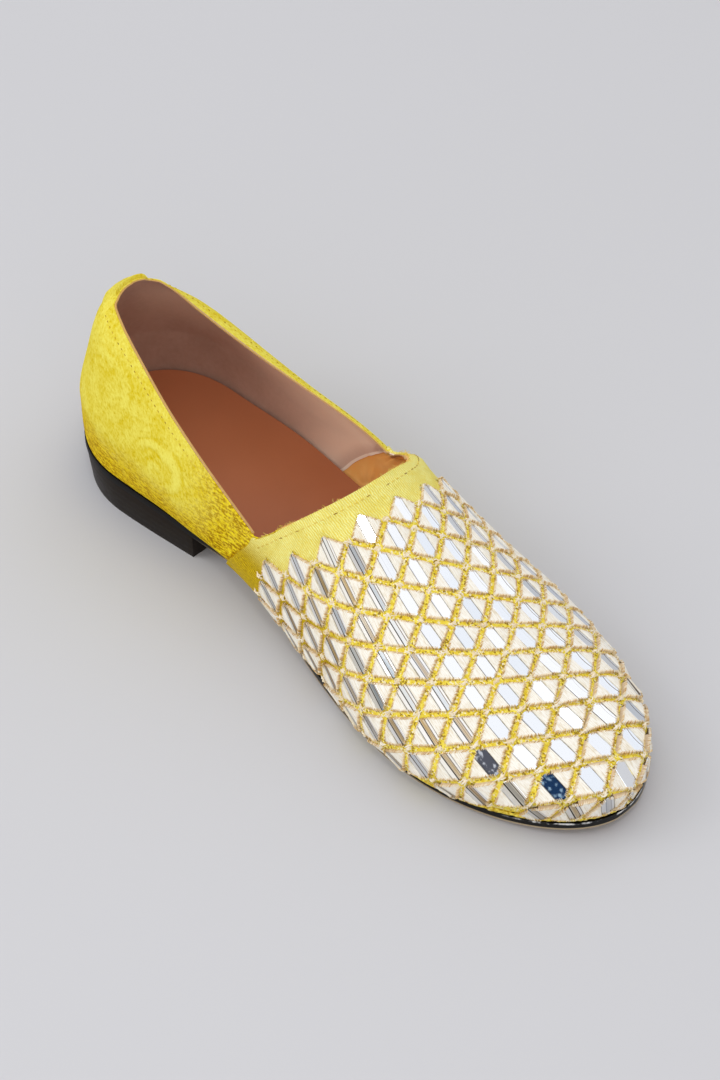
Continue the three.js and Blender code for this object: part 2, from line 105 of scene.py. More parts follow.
def outline(edge, turn):
    """Plan of an edge of the last; the turn is 0 at the heel, pi at the toe, negative on the medial side."""
    turn = (np.asarray(turn, float) + np.pi) % (2 * np.pi) - np.pi
    x = station_of(turn)
    heel = np.clip(1 - x / HEEL_CENTRE, 0, 1)
    toe = np.clip((x - BALL_CENTRE) / (LENGTH - BALL_CENTRE), 0, 1)
    rounding = (1 - heel ** HEEL_POWER) ** (1 / HEEL_POWER) * (1 - toe ** TOE_POWER) ** (1 / TOE_POWER)
    half = np.where(turn < 0, -edge["medial"](x), edge["lateral"](x))
    shift = edge["heel_tuck"] * heel ** 2 - edge["toe_tuck"] * toe ** 2
    return np.stack([x + shift, half * rounding + TOE_SWING * toe ** 2], axis=-1)


def grown_outline(edge, turn, grow):
    """The same edge moved outward in plan."""
    turn = np.asarray(turn, float)
    small_turn = 0.004
    tangent = outline(edge, turn + small_turn) - outline(edge, turn - small_turn)
    tangent /= np.linalg.norm(tangent, axis=-1, keepdims=True)
    outward = np.stack([-tangent[..., 1], tangent[..., 0]], axis=-1)
    return outline(edge, turn) + outward * np.broadcast_to(grow, turn.shape)[..., None]


def sole_plan(turn, inset):
    x = outline(FEATHER, turn)[..., 0]
    return grown_outline(FEATHER, turn, sole_margin(x) - inset)


def metres(points):
    """From the maker's millimetres, heel at zero, to the frame of the part."""
    return (np.asarray(points) - FRAME_MIDDLE) / 1000


def grid_piece(name, columns, rows, place):
    """A grid primitive laid on the last: place takes column and row numbers and gives points."""
    bpy.ops.object.select_all(action="DESELECT")
    bpy.ops.mesh.primitive_grid_add(x_subdivisions=columns, y_subdivisions=rows, size=2)
    piece = bpy.context.object
    piece.name = piece.data.name = name
    flat = np.empty(len(piece.data.vertices) * 3)
    piece.data.vertices.foreach_get("co", flat)
    share = (flat.reshape(-1, 3)[:, :2] + 1) / 2
    column = np.rint(share[:, 0] * columns).astype(int)
    row = np.rint(share[:, 1] * rows).astype(int)
    piece.data.vertices.foreach_set("co", metres(place(column, row)).ravel())
    return piece


def merge_poles(piece, distance=0.00002):
    """Closes the seams and poles where a grid comes together."""
    bpy.ops.object.select_all(action="DESELECT")
    bpy.context.view_layer.objects.active = piece
    piece.select_set(True)
    bpy.ops.object.mode_set(mode="EDIT")
    bpy.ops.mesh.select_all(action="SELECT")
    bpy.ops.mesh.remove_doubles(threshold=distance)
    bpy.ops.mesh.select_all(action="DESELECT")
    bpy.ops.object.mode_set(mode="OBJECT")


def finish_mesh(piece, modifiers, smooth_angle=40):
    """Adds modifiers, each a kind and its settings, applies them and smooths the shading."""
    bpy.ops.object.select_all(action="DESELECT")
    bpy.context.view_layer.objects.active = piece
    piece.select_set(True)
    for kind, settings in modifiers:
        modifier = piece.modifiers.new(kind.lower(), kind)
        for key, value in settings.items():
            setattr(modifier, key, value)
        bpy.ops.object.modifier_apply(modifier=modifier.name)
    bpy.ops.object.shade_smooth_by_angle(angle=math.radians(smooth_angle))


def thickened(thickness):
    """A modifier that gives a sheet its thickness, inward, in millimetres."""
    return "SOLIDIFY", {"thickness": thickness / 1000, "offset": -1}


def eased(width, segments, angle):
    """A modifier that rounds over the edges sharper than an angle; the width is in millimetres."""
    return "BEVEL", {
        "width": width / 1000, "segments": segments,
        "limit_method": "ANGLE", "angle_limit": math.radians(angle)}


def piece_points(piece):
    """A piece's vertices back in the maker's millimetres."""
    flat = np.empty(len(piece.data.vertices) * 3)
    piece.data.vertices.foreach_get("co", flat)
    return flat.reshape(-1, 3) * 1000 + FRAME_MIDDLE


def add_mark(piece, name, values):
    """Keeps one or three numbers for each vertex, for the material to read."""
    values = np.asarray(values, float)
    if values.ndim == 1:
        values = np.column_stack([values] * 3)
    attribute = piece.data.attributes.new(name, "FLOAT_VECTOR", "POINT")
    attribute.data.foreach_set("vector", values.ravel())


def paint(red, green, blue):
    """A screen colour, 0 to 255, as the shader's linear colour."""
    shares = [channel / 255 for channel in (red, green, blue)]
    linear = [share / 12.92 if share <= 0.04 else ((share + 0.055) / 1.055) ** 2.4 for share in shares]
    return (*linear, 1.0)


class Value:
    """A shader socket. Expressions on values add their Math nodes to the material."""

    def __init__(self, socket):
        self.socket = socket

    def _math(self, operation, first, second):
        tree = self.socket.id_data
        node = tree.nodes.new("ShaderNodeMath")
        node.operation = operation
        for slot, item in zip(node.inputs, (first, second)):
            if isinstance(item, Value):
                tree.links.new(item.socket, slot)
            else:
                slot.default_value = item
        return Value(node.outputs[0])

    def __add__(self, other):
        return self._math("ADD", self, other)

    def __sub__(self, other):
        return self._math("SUBTRACT", self, other)

    def __rsub__(self, other):
        return self._math("SUBTRACT", other, self)

    def __mul__(self, other):
        return self._math("MULTIPLY", self, other)

    def __pow__(self, other):
        return self._math("POWER", self, other)

    def __gt__(self, other):
        return self._math("GREATER_THAN", self, other)

    def __lt__(self, other):
        return self._math("LESS_THAN", self, other)

    __radd__ = __add__
    __rmul__ = __mul__


class Finish:
    """One finish of the shoe: a Principled shader, its fixed values and the nodes that vary it."""

    def __init__(self, name, **fixed):
        self.material = bpy.data.materials.new(name)
        self.material.use_nodes = True
        self.tree = self.material.node_tree
        self.shader = self.tree.nodes["Principled BSDF"]
        for socket, value in fixed.items():
            self.shader.inputs[socket.replace("_", " ")].default_value = value

    def node(self, kind, settings=None, inputs=None, output=0):
        """Any node: its settings first, then the values or links of its sockets."""
        node = self.tree.nodes.new("ShaderNode" + kind)
        for key, value in (settings or {}).items():
            if key == "stops":
                ramp = node.color_ramp
                while len(ramp.elements) < len(value):
                    ramp.elements.new(0.5)
                for element, (position, colour) in zip(ramp.elements, value):
                    element.position = position
                    element.color = colour
            else:
                setattr(node, key, value)
        for key, value in (inputs or {}).items():
            if isinstance(value, Value):
                self.tree.links.new(value.socket, node.inputs[key])
            else:
                node.inputs[key].default_value = value
        return Value(node.outputs[output])

    def feed(self, **values):
        for socket, value in values.items():
            self.tree.links.new(value.socket, self.shader.inputs[socket.replace("_", " ")])

    def spot(self):
        """Where on the object, in metres."""
        return self.node("TexCoord", output="Object")

    def mark(self, name, output="Vector"):
        """An attribute of the piece."""
        return self.node("Attribute", {"attribute_name": name}, output=output)

    def noise(self, vector, scale, detail=3.0, rough=0.5):
        return self.node("TexNoise", inputs={
            "Vector": vector, "Scale": scale, "Detail": detail, "Roughness": rough})

    def blend(self, factor, first, second):
        return self.node("Mix", {"data_type": "RGBA"}, {"Factor": factor, 6: first, 7: second}, output=2)

    def parts(self, vector):
        """The three numbers of a vector."""
        node = self.tree.nodes.new("ShaderNodeSeparateXYZ")
        self.tree.links.new(vector.socket, node.inputs[0])
        return [Value(socket) for socket in node.outputs]

    def scaled(self, vector, scale):
        """A vector drawn out along its three directions."""
        return self.node("VectorMath", {"operation": "MULTIPLY"}, {0: vector, 1: scale})

    def size_of(self, value):
        """A value without its sign."""
        return self.node("Math", {"operation": "ABSOLUTE"}, {0: value})

    def larger(self, first, second):
        return self.node("Math", {"operation": "MAXIMUM"}, {0: first, 1: second})

    def bump(self, height, distance, strength=1.0):
        self.feed(Normal=self.node("Bump", inputs={
            "Height": height, "Distance": distance, "Strength": strength}))

    def between(self, value, low, high):
        """0 below low, 1 above high, eased between."""
        return self.node("MapRange", {"interpolation_type": "SMOOTHSTEP"}, {
            "Value": value, "From Min": low, "From Max": high})

    def wear(self, *pieces):
        for piece in pieces:
            piece.data.materials.clear()
            piece.data.materials.append(self.material)


SOLE_COLUMNS = 110
SOLE_ROWS = 14


def place_outsole(column, row):
    turn = np.pi * column / SOLE_COLUMNS
    across = (row / SOLE_ROWS)[:, None]
    plan = sole_plan(-turn, 0) * (1 - across) + sole_plan(turn, 0) * across
    return np.column_stack([plan, sole_under(plan[:, 0]) + SOLE_THICKNESS - LAYER_GAP])


outsole = grid_piece("outsole_leather", SOLE_COLUMNS, SOLE_ROWS, place_outsole)
merge_poles(outsole)
finish_mesh(outsole, [
    thickened(SOLE_THICKNESS - LAYER_GAP),
    eased(0.9, 4, 50),
])

sole_spots = piece_points(outsole)
sole_level = sole_spots[:, 2] - sole_under(sole_spots[:, 0])
add_mark(outsole, "level", sole_level)

edge_ink = Finish("inked_sole_edge", Specular_IOR_Level=0.14, Coat_Roughness=0.08)
facing = edge_ink.parts(edge_ink.node("NewGeometry", output="Normal"))[2]
underside = edge_ink.between(facing * -1, 0.8, 0.97)
grain = edge_ink.noise(edge_ink.spot(), 900.0, 4.0)
streak = edge_ink.noise(edge_ink.spot(), 90.0, 3.0)
black = edge_ink.blend(grain, paint(6, 5, 5), paint(14, 12, 12))
sole_x, sole_y, _ = edge_ink.parts(edge_ink.spot())
forepart = edge_ink.between(sole_x, -0.055, -0.03)
edge_level = edge_ink.mark("level", "Fac")
foot_line = edge_ink.between(edge_level, 0.75, 0.5) * forepart
black = edge_ink.blend(foot_line, black, paint(168, 150, 122))
# Painted highlight: broken pale glints painted along the top of the rim at the toe.
glint_rim = edge_ink.between(edge_level, 2.0, 2.3) * edge_ink.between(facing, 0.9, 0.7)
at_toe = edge_ink.between(sole_x, 0.096, 0.116) * edge_ink.between(sole_y, 0.016, 0.0)
broken = edge_ink.between(edge_ink.noise(edge_ink.spot(), 260.0, 3.0, 0.6), 0.47, 0.63)
black = edge_ink.blend(glint_rim * at_toe * broken * 0.85, black, paint(236, 235, 234))
edge_ink.feed(
    Base_Color=edge_ink.blend(underside, black, paint(176, 142, 100)),
    Roughness=0.2 + streak * 0.14 + underside * 0.35 + (1 - forepart) * 0.25,
    Coat_Weight=edge_ink.between(facing, -0.2, 0.4) * forepart * 0.5)
edge_ink.bump(grain, 0.00005, 0.5)
edge_ink.wear(outsole)
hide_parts("outsole")
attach(outsole, "root")


# Heel: a low block of stacked leather nailed under the seat of the sole, straight across its breast,
# drawn in a little towards the floor, stained black and waxed to a satin.
BREAST = 74.5
HEEL_COLUMNS = 40
HEEL_ROWS = 14
HEEL_INSET_TOP = 0.2
HEEL_SHRINK = 0.958
HEEL_DRAW = (0, 0, -0.004)


def place_heel(column, row):
    turn = turn_of(BREAST) * column / HEEL_COLUMNS
    across = (row / HEEL_ROWS)[:, None]
    plan = sole_plan(-turn, HEEL_INSET_TOP) * (1 - across) + sole_plan(turn, HEEL_INSET_TOP) * across
    return np.column_stack([plan, sole_under(plan[:, 0]) - LAYER_GAP])


def face_outward(piece):
    """Turns every face of a closed piece outward."""
    bpy.ops.object.select_all(action="DESELECT")
    bpy.context.view_layer.objects.active = piece
    bpy.ops.object.mode_set(mode="EDIT")
    bpy.ops.mesh.select_all(action="SELECT")
    bpy.ops.mesh.normals_make_consistent(inside=False)
    bpy.ops.object.mode_set(mode="OBJECT")


heel = grid_piece("heel_block", HEEL_COLUMNS, HEEL_ROWS, place_heel)
merge_poles(heel)
heel_low, heel_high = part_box("heel")
heel_middle = (heel_low + heel_high) / 2
bpy.ops.object.mode_set(mode="EDIT")
bpy.ops.mesh.select_all(action="SELECT")
bpy.ops.mesh.extrude_region_move(TRANSFORM_OT_translate={"value": HEEL_DRAW})
bpy.ops.transform.resize(
    value=(HEEL_SHRINK, HEEL_SHRINK, 0), center_override=(heel_middle.x, heel_middle.y, 0))
bpy.ops.object.mode_set(mode="OBJECT")
face_outward(heel)
finish_mesh(heel, [eased(0.5, 3, 50)])

heel_wax = Finish("waxed_heel", Specular_IOR_Level=0.14, Specular_Tint=(1.0, 0.78, 0.6, 1.0))
layer = heel_wax.node("TexWave", {"bands_direction": "Z"}, {
    "Vector": heel_wax.spot(), "Scale": 105.0, "Distortion": 0.6, "Detail": 2.0, "Detail Scale": 3.0}, "Fac")
fibre = heel_wax.noise(heel_wax.spot(), 700.0, 4.0)
heel_wax.feed(
    Base_Color=heel_wax.blend(fibre * 0.6 + layer * 0.3, paint(11, 7, 4), paint(30, 21, 13)),
    Roughness=0.34 + fibre * 0.2)
heel_wax.bump(fibre * 0.5 + layer * 0.5, 0.00006, 0.5)
heel_wax.wear(heel)
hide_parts("heel")
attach(heel, "root")


# Insole: a board covered with a smooth brown leather sock, glued down inside the upper. Its rim
# turns up slightly where it meets the lining.
WALL = 2.0
INSOLE_THICKNESS = 2.0
INSOLE_COLUMNS = 90
INSOLE_ROWS = 22
INSOLE_DISH = 0.7
INSOLE_CLEAR = 0.2


def place_insole(column, row):
    turn = np.pi * column / INSOLE_COLUMNS
    side = np.sin((row / INSOLE_ROWS - 0.5) * np.pi)
    across = ((side + 1) / 2)[:, None]
    plan = grown_outline(FEATHER, -turn, -WALL - INSOLE_CLEAR) * (1 - across)
    plan = plan + grown_outline(FEATHER, turn, -WALL - INSOLE_CLEAR) * across
    rim = np.abs(side) ** 8 * np.sin(turn)
    height = sole_under(plan[:, 0]) + SOLE_THICKNESS + INSOLE_THICKNESS + INSOLE_DISH * rim
    return np.column_stack([plan, height])


insole = grid_piece("insole_sock", INSOLE_COLUMNS, INSOLE_ROWS, place_insole)
merge_poles(insole)
finish_mesh(insole, [
    thickened(INSOLE_THICKNESS - LAYER_GAP),
    eased(0.4, 2, 55),
])

sock = Finish("sock_leather", Specular_IOR_Level=0.4)
sock_grain = sock.node("TexVoronoi", {"feature": "DISTANCE_TO_EDGE"}, {
    "Vector": sock.spot(), "Scale": 1500.0})
sock_cloud = sock.noise(sock.spot(), 45.0, 4.0)
# Painted light: the sock is painted lighter towards the heel, against the shade deep inside the heel.
heel_light = sock.between(sock.parts(sock.spot())[0], -0.03, -0.11)
sock_brown = sock.blend(sock_cloud, paint(166, 96, 58), paint(182, 110, 70))
sock.feed(
    Base_Color=sock.blend(heel_light * 0.8, sock_brown, paint(208, 130, 88)),
    Roughness=0.42 + sock_cloud * 0.12)
sock.bump(sock_grain, 0.00004, 0.35)
sock.wear(insole)
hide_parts("insole")
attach(insole, "root")


# Quarters: the back of the upper, cut from figured yellow velvet, its top edge rolled over and sewn
# down to the lining. The velvet's scrolls stand in tone on tone, with painted shade in the furrows beside
# them.
# It is painted darker gold low down as shade, and darker gold at the front of the inner side, with darker
# flecks of pressed pile and brighter raised ones there.
LOWEST = math.radians(-75)
HIGHEST = math.pi / 2
SPINE_HEEL_Y = -4.4
SPINE_BALL_Y = 0.6
LATERAL_EXTRA = 0.2
LATERAL_EXTRA_STATION = 110.0
LATERAL_EXTRA_REACH = 75.0
HEIGHT_STATIONS = (0, HEEL_CENTRE, 75, 110, 142, BALL_CENTRE, 220, LENGTH)
bulge_medial = smooth_curve(WIDTH_STATIONS, (31, 31, 31.4, 30, 33.2, 42.3, 42.3))
bulge_lateral = smooth_curve(WIDTH_STATIONS, (31.5, 31.5, 34.1, 38.5, 39.2, 40.2, 40.2))
ridge_height = smooth_curve(HEIGHT_STATIONS, (76.4, 76.4, 70, 68, 54.2, 39, 27, 23))
bulge_height = smooth_curve(HEIGHT_STATIONS, (18.5, 18.5, 16.2, 13.4, 11.3, 9.3, 9.6, 10.4))
fullness = smooth_curve(HEIGHT_STATIONS, (1.3, 1.3, 1.45, 1.8, 1.93, 2, 2.04, 2.08))
BULGE = {"medial": bulge_medial, "lateral": bulge_lateral, "heel_tuck": 0.0, "toe_tuck": 0.0}
COLLAR_SKEW = -0.05
THROAT_CORNER = 110.0
THROAT_TOP = 136.0
THROAT_BOW = -1.3
collar_height = smooth_curve((0, 14, 65, THROAT_CORNER), (83.8, 82.8, 58.3, 37.6))


def feather_height(x):
    return sole_under(x) + SOLE_THICKNESS


def last_point(turn, rise, grow=0.0):
    """A point of the last: rise runs from the feather line over the bulge at 0 to the spine at 90 degrees."""
    turn, rise, grow = np.broadcast_arrays(np.asarray(turn, float), rise, grow)
    station = station_of(turn)
    bulge = grown_outline(BULGE, turn, grow)
    foot = grown_outline(FEATHER, turn, grow)
    height = bulge_height(station)
    low = np.minimum(rise, 0)
    tuck = (1 - np.cos(low)) / (1 - math.cos(LOWEST))
    plan_low = bulge + (foot - bulge) * tuck[..., None]
    z_low = height * (1 - np.sin(low) / math.sin(LOWEST))
    high = np.clip(rise, 0, HIGHEST)
    spine_x = np.clip(station, HEEL_CENTRE, BALL_CENTRE)
    along = (spine_x - HEEL_CENTRE) / (BALL_CENTRE - HEEL_CENTRE)
    spine = np.stack([spine_x, SPINE_HEEL_Y + (SPINE_BALL_Y - SPINE_HEEL_Y) * along], axis=-1)
    near = np.clip(1 - np.abs(station - LATERAL_EXTRA_STATION) / LATERAL_EXTRA_REACH, 0, 1)
    power = fullness(station) + np.where(turn > 0, LATERAL_EXTRA * near, 0)
    out = np.where(high < HIGHEST, np.maximum(np.cos(high), 0) ** (2 / power), 0)
    plan_high = spine + (bulge - spine) * out[..., None]
    z_high = height + (ridge_height(plan_high[..., 0]) + grow - height) * np.sin(high) ** (2 / power)
    below = rise <= 0
    plan = np.where(below[..., None], plan_low, plan_high)
    z = feather_height(plan[..., 0]) + np.where(below, z_low, z_high)
    return np.concatenate([plan, z[..., None]], axis=-1)


throat_share = np.linspace(0, 1.4, 57)
throat_start = float(collar_height(THROAT_CORNER))
throat_end = float(ridge_height(THROAT_TOP) + feather_height(THROAT_TOP))
throat_x = (THROAT_CORNER + (THROAT_TOP - THROAT_CORNER) * throat_share
            + THROAT_BOW * 4 * throat_share * (1 - throat_share))
throat_z = throat_start + (throat_end - throat_start) * throat_share


def top_line(x):
    """Height of the opening's edge seen from the side: the collar, then the throat."""
    return np.where(x < THROAT_CORNER, collar_height(x), np.interp(x, throat_x, throat_z, right=1000.0))


THROAT_ARCH = 2.5
ARCH_MIDDLE = -3.0
ARCH_HALF = 27.0


def opening_height(points):
    """Height of the opening's edge over points; the throat arches a little across the instep."""
    x, y = points[:, 0], points[:, 1]
    arch = THROAT_ARCH * np.clip(1 - ((y - ARCH_MIDDLE) / ARCH_HALF) ** 2, 0, 1)
    return top_line(x) + COLLAR_SKEW * y + np.where(x > THROAT_CORNER + 8, arch, 0)


def halved(low, high, rounds, falls_short):
    """Bounds brought together by halving, towards the place where a test stops falling short."""
    for _ in range(rounds):
        middle = (low + high) / 2
        short = falls_short(middle)
        low = np.where(short, middle, low)
        high = np.where(short, high, middle)
    return low, high


def top_rise(turn, grow, raised=0.0):
    """How far a column of the upper rises before it meets the opening."""

    def under(rise):
        point = last_point(turn, rise, grow)
        return point[:, 2] < opening_height(point) + raised

    low, high = halved(np.zeros_like(turn), np.full_like(turn, HIGHEST), 40, under)
    return np.where(high > HIGHEST - 1e-6, HIGHEST, (low + high) / 2)


TAB_RAISE = 1.2
TAB_TURN_MEDIAL = -0.36
TAB_TURN_LATERAL = 0.21
TAB_EASE = 0.04


def tab_lift(turn):
    """The collar stands higher under the strap at the back."""
    rising = np.clip((turn - TAB_TURN_MEDIAL) / TAB_EASE, 0, 1)
    falling = np.clip((TAB_TURN_LATERAL - turn) / TAB_EASE, 0, 1)
    return TAB_RAISE * np.minimum(rising, falling)


TUCK_DEPTH = 9.0
INNER_TUCK = 0.3
INNER_TUCK_FADE = 20.0
SWELL_BELOW = 7.0
SWELL_WIDTH = 3.5
TUCK_ENDS = math.radians(72)
TUCK_FADE = math.radians(22)
FLARE_DEPTH = 18.0
tuck_along = smooth_curve(
    (8, 22, 42, 55, 80, 105, 119, 129, 138), (0, 2.6, 4.4, 4.2, 2.6, 2.0, 2.4, 2.0, 0))
swell_along = smooth_curve(
    (8, 25, 45, 60, 75, 90, 105, 118, 132), (0, 0.3, 0.3, 0.3, 0.6, 1.3, 1.7, 1.2, 0))
flare_round = smooth_curve(
    (-0.75, -0.6, -0.5, -0.38, -0.2, 0.0, 0.15, 0.3, 0.45), (0, 0.7, 1.4, 2.5, 2.7, 2.7, 2.2, 1, 0))
swell_round = smooth_curve(
    (-1.3, -1.0, -0.7, -0.45, -0.2, 0, 0.2, 0.4, 0.6), (0, 0.2, 0.65, 1, 1, 0.8, 0.45, 0.15, 0))
swell_under = smooth_curve(
    (0, 3, 6, 9, 12, 15, 20, 26, 34, 44, 56, 66), (0, 2.6, 3.4, 3.5, 3.2, 2.8, 1.8, 0.7, -0.2, -0.7, -0.3, 0))


def collar_tuck(turn, below, rise):
    """The outer side bends in towards the collar and swells a little just beneath it."""
    station = station_of(turn)
    inner_amount = INNER_TUCK * np.clip((THROAT_TOP - station) / INNER_TUCK_FADE, 0, 1)
    amount = np.where(turn > 0, tuck_along(station), inner_amount)
    inward = amount * np.clip(1 - below / TUCK_DEPTH, 0, 1) ** 1.7
    swell = np.where(turn > 0, swell_along(station), 0) * np.exp(-((below - SWELL_BELOW) / SWELL_WIDTH) ** 2)
    return (swell - inward) * np.clip((TUCK_ENDS - rise) / TUCK_FADE, 0, 1)


def tucked_point(turn, rise, top, grow):
    """A point of the upper's wall with the bend of the collar; the back flares under the strap."""
    below = last_point(turn, top, grow)[:, 2] - last_point(turn, rise, grow)[:, 2]
    point = last_point(turn, rise, grow + collar_tuck(turn, below, rise))
    backward = grown_outline(BULGE, turn, 1.0) - outline(BULGE, turn)
    flare = flare_round(turn) * np.clip(1 - below / FLARE_DEPTH, 0, 1) ** 1.4
    flare = flare + swell_round(turn) * swell_under(below)
    point[:, :2] += backward * flare[:, None]
    return point


QUARTER_FRONT = 119.0
QUARTER_COLUMNS = 150
QUARTER_LOW_ROWS = 28
QUARTER_ROWS = 44
QUARTER_KNEE = 10.0
QUARTER_CLOTH = 0.7
front_turn = float(turn_of(QUARTER_FRONT))
quarter_turns = np.linspace(front_turn, -front_turn, QUARTER_COLUMNS + 1)
quarter_tops = top_rise(quarter_turns, 0.0, tab_lift(quarter_turns))
quarter_knees = top_rise(quarter_turns, 0.0, -QUARTER_KNEE)


def place_quarters(column, row):
    low_share = np.minimum(row / QUARTER_LOW_ROWS, 1)
    high_share = np.maximum(row - QUARTER_LOW_ROWS, 0) / (QUARTER_ROWS - QUARTER_LOW_ROWS)
    rise = LOWEST + (quarter_knees[column] - LOWEST) * low_share
    rise = rise + (quarter_tops[column] - quarter_knees[column]) * high_share
    return tucked_point(quarter_turns[column], rise, quarter_tops[column], 0.0)


def over_feather(points):
    """Height of points over the feather line, in millimetres."""
    return points[:, 2] - feather_height(points[:, 0])


quarters = grid_piece("quarters", QUARTER_COLUMNS, QUARTER_ROWS, place_quarters)
add_mark(quarters, "height", over_feather(piece_points(quarters)))
finish_mesh(quarters, [
    thickened(QUARTER_CLOTH),
    eased(0.3, 3, 60),
])

SCROLLS = (
    (-0.0665, 0.0405, 0.0105, 0.8), (-0.0650, 0.0375, 0.0050, 0.6), (-0.0980, 0.0560, 0.0135, 0.35),
    (-0.0400, 0.0440, 0.0090, 0.3), (-0.0860, 0.0230, 0.0095, 0.3))


def velvet_look(cloth):
    """Pile of the velvet: scrolls in tone on tone with painted shade beside them, short streaks of nap and
    lint-sized flecks.
    """
    place = cloth.spot()
    bent = cloth.node("VectorMath", {"operation": "MULTIPLY_ADD"}, {
        0: cloth.node("TexNoise", inputs={"Vector": place, "Scale": 70.0, "Detail": 1.0}, output="Color"),
        1: (0.006, 0.006, 0.006), 2: place})
    along, _, up = cloth.parts(bent)
    scroll = furrow = 0.0
    for x, z, radius, strength in SCROLLS:
        across, over = along - x - 0.003, (up - z - 0.003) * 1.3
        distance = (across * across + over * over) ** 0.5
        off = cloth.size_of(distance - radius)
        part = cloth.between(across * 0.8 + over * 0.6, -0.9 * radius, 0.3 * radius) * strength
        stroke = (1 - cloth.between(off, 0.0004, 0.0026)) * part
        # Painted shade: a darker line beside each scroll, where shade would lie in its furrow; the bump dips
        # a little there too.
        beside = cloth.between(off, 0.0014, 0.0026) * cloth.between(off, 0.0042, 0.0026) * part
        scroll = cloth.larger(scroll, stroke)
        furrow = cloth.larger(furrow, beside)
    patch = cloth.between(cloth.noise(place, 110.0, 3.0, 0.5), 0.42, 0.62)
    turned = cloth.node("VectorRotate", {"rotation_type": "Y_AXIS"}, {"Vector": place, "Angle": 0.6})
    nap = cloth.noise(place, 1200.0, 2.0, 0.6)
    clump = cloth.noise(cloth.scaled(turned, (1300.0, 1000.0, 520.0)), 1.0, 3.0, 0.6)
    strokes = cloth.noise(cloth.scaled(place, (420.0, 800.0, 1300.0)), 1.0, 3.0, 0.6)
    tone = 0.6 + scroll * 0.24 - patch * 0.2 - furrow * 0.24 + (nap - 0.5) * 0.6 + (clump - 0.5) * 1.3
    colour = cloth.blend(cloth.between(tone, 0.0, 1.0), paint(218, 192, 12), paint(241, 231, 104))
    fleck = cloth.between(clump * 0.65 + nap * 0.35, 0.42, 0.3)
    colour = cloth.blend(fleck * 0.4, colour, paint(168, 132, 4))
    return colour, nap * 0.3 + clump * 0.7 + scroll * 0.5 - furrow * 0.3, nap * 0.3 + strokes * 0.7


velvet = Finish(
    "figured_velvet", Specular_IOR_Level=0.07, Roughness=0.9, Sheen_Weight=0.1, Sheen_Roughness=0.35,
    Sheen_Tint=paint(255, 236, 70))
velvet_colour, velvet_height, velvet_pile = velvet_look(velvet)
to_floor = velvet.mark("height", "Fac")
velvet_x, velvet_y, _ = velvet.parts(velvet.spot())
forward = velvet.between(velvet_x, -0.058, -0.026) * velvet.between(velvet_y, 0.01, -0.005)
# Painted shade: the velvet is painted darker gold low down towards the sole; the front of the inner side is
# darker gold too.
low_shade = velvet.between(to_floor + velvet.noise(velvet.spot(), 150.0, 3.0) * 14.0, 31.0, 9.0)
shade_and_front = low_shade * 0.9 + forward * 0.65
velvet_colour = velvet.blend(shade_and_front, velvet_colour, paint(206, 164, 0))
pressed = velvet.between(velvet_pile, 0.5, 0.43) * (low_shade * 0.8 + forward * 0.85)
velvet_colour = velvet.blend(pressed, velvet_colour, paint(160, 120, 0))
raised = velvet.between(velvet_pile, 0.5, 0.58) * (low_shade * 0.6 + forward * 0.7)
velvet_colour = velvet.blend(raised, velvet_colour, paint(250, 230, 34))
velvet.feed(Base_Color=velvet_colour)
velvet.bump(velvet_height, 0.0005, 0.6)
velvet.wear(quarters)
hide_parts("upper")
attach(quarters, "root")


# Quarter lining: thin pinkish-brown suede glued inside the quarters. Its cut edge stands just above the
# velvet and shows tan; at the front it laps over the vamp lining with a curved edge.
LINING_OUT = -0.8
LINING_THICKNESS = 0.4
LINING_PROUD = 0.3
LINING_COLUMNS = 150
LINING_ROWS = 40
LINING_COLUMN_WIDTH = 2.2
LINING_ROW_HEIGHT = 2.0
LINING_MEDIAL_FRONT = 108.0
lining_front = smooth_curve(
    np.radians((-75, -39, -28, -19, -9, 1, 5, 10, 15, 22, 50)),
    (88, 91.2, 92.8, 94.4, 96.4, 99, 102.3, 106.7, 110.8, 114, 114))
lining_share = np.linspace(1, -1, LINING_COLUMNS + 1)


def lining_turn(share, rise):
    """The front edge slopes forward as it rises; on the inner side it stops short of the throat."""
    front = lining_front(rise)
    return share * turn_of(np.where(share < 0, np.minimum(front, LINING_MEDIAL_FRONT), front))


lining_tops = np.zeros_like(lining_share)
for _ in range(50):
    lining_turns = lining_turn(lining_share, lining_tops)
    lining_tops = top_rise(lining_turns, LINING_OUT, LINING_PROUD + tab_lift(lining_turns))


def place_lining(column, row):
    rise = LOWEST + (lining_tops[column] - LOWEST) * row / LINING_ROWS
    turn = lining_turn(lining_share[column], rise)
    return tucked_point(turn, rise, top_rise(turn, LINING_OUT, LINING_PROUD + tab_lift(turn)), LINING_OUT)


lining = grid_piece("quarter_lining", LINING_COLUMNS, LINING_ROWS, place_lining)
lining_spots = piece_points(lining)
lining_row, lining_column = np.divmod(np.arange(len(lining_spots)), LINING_COLUMNS + 1)
from_front = np.minimum(lining_column, LINING_COLUMNS - lining_column) * LINING_COLUMN_WIDTH
from_edge = np.minimum((LINING_ROWS - lining_row) * LINING_ROW_HEIGHT, from_front)
add_mark(lining, "cut", np.column_stack([from_edge, lining_spots[:, 0], lining_spots[:, 1]]))
add_mark(lining, "rim", from_front)
finish_mesh(lining, [thickened(LINING_THICKNESS)], 60)

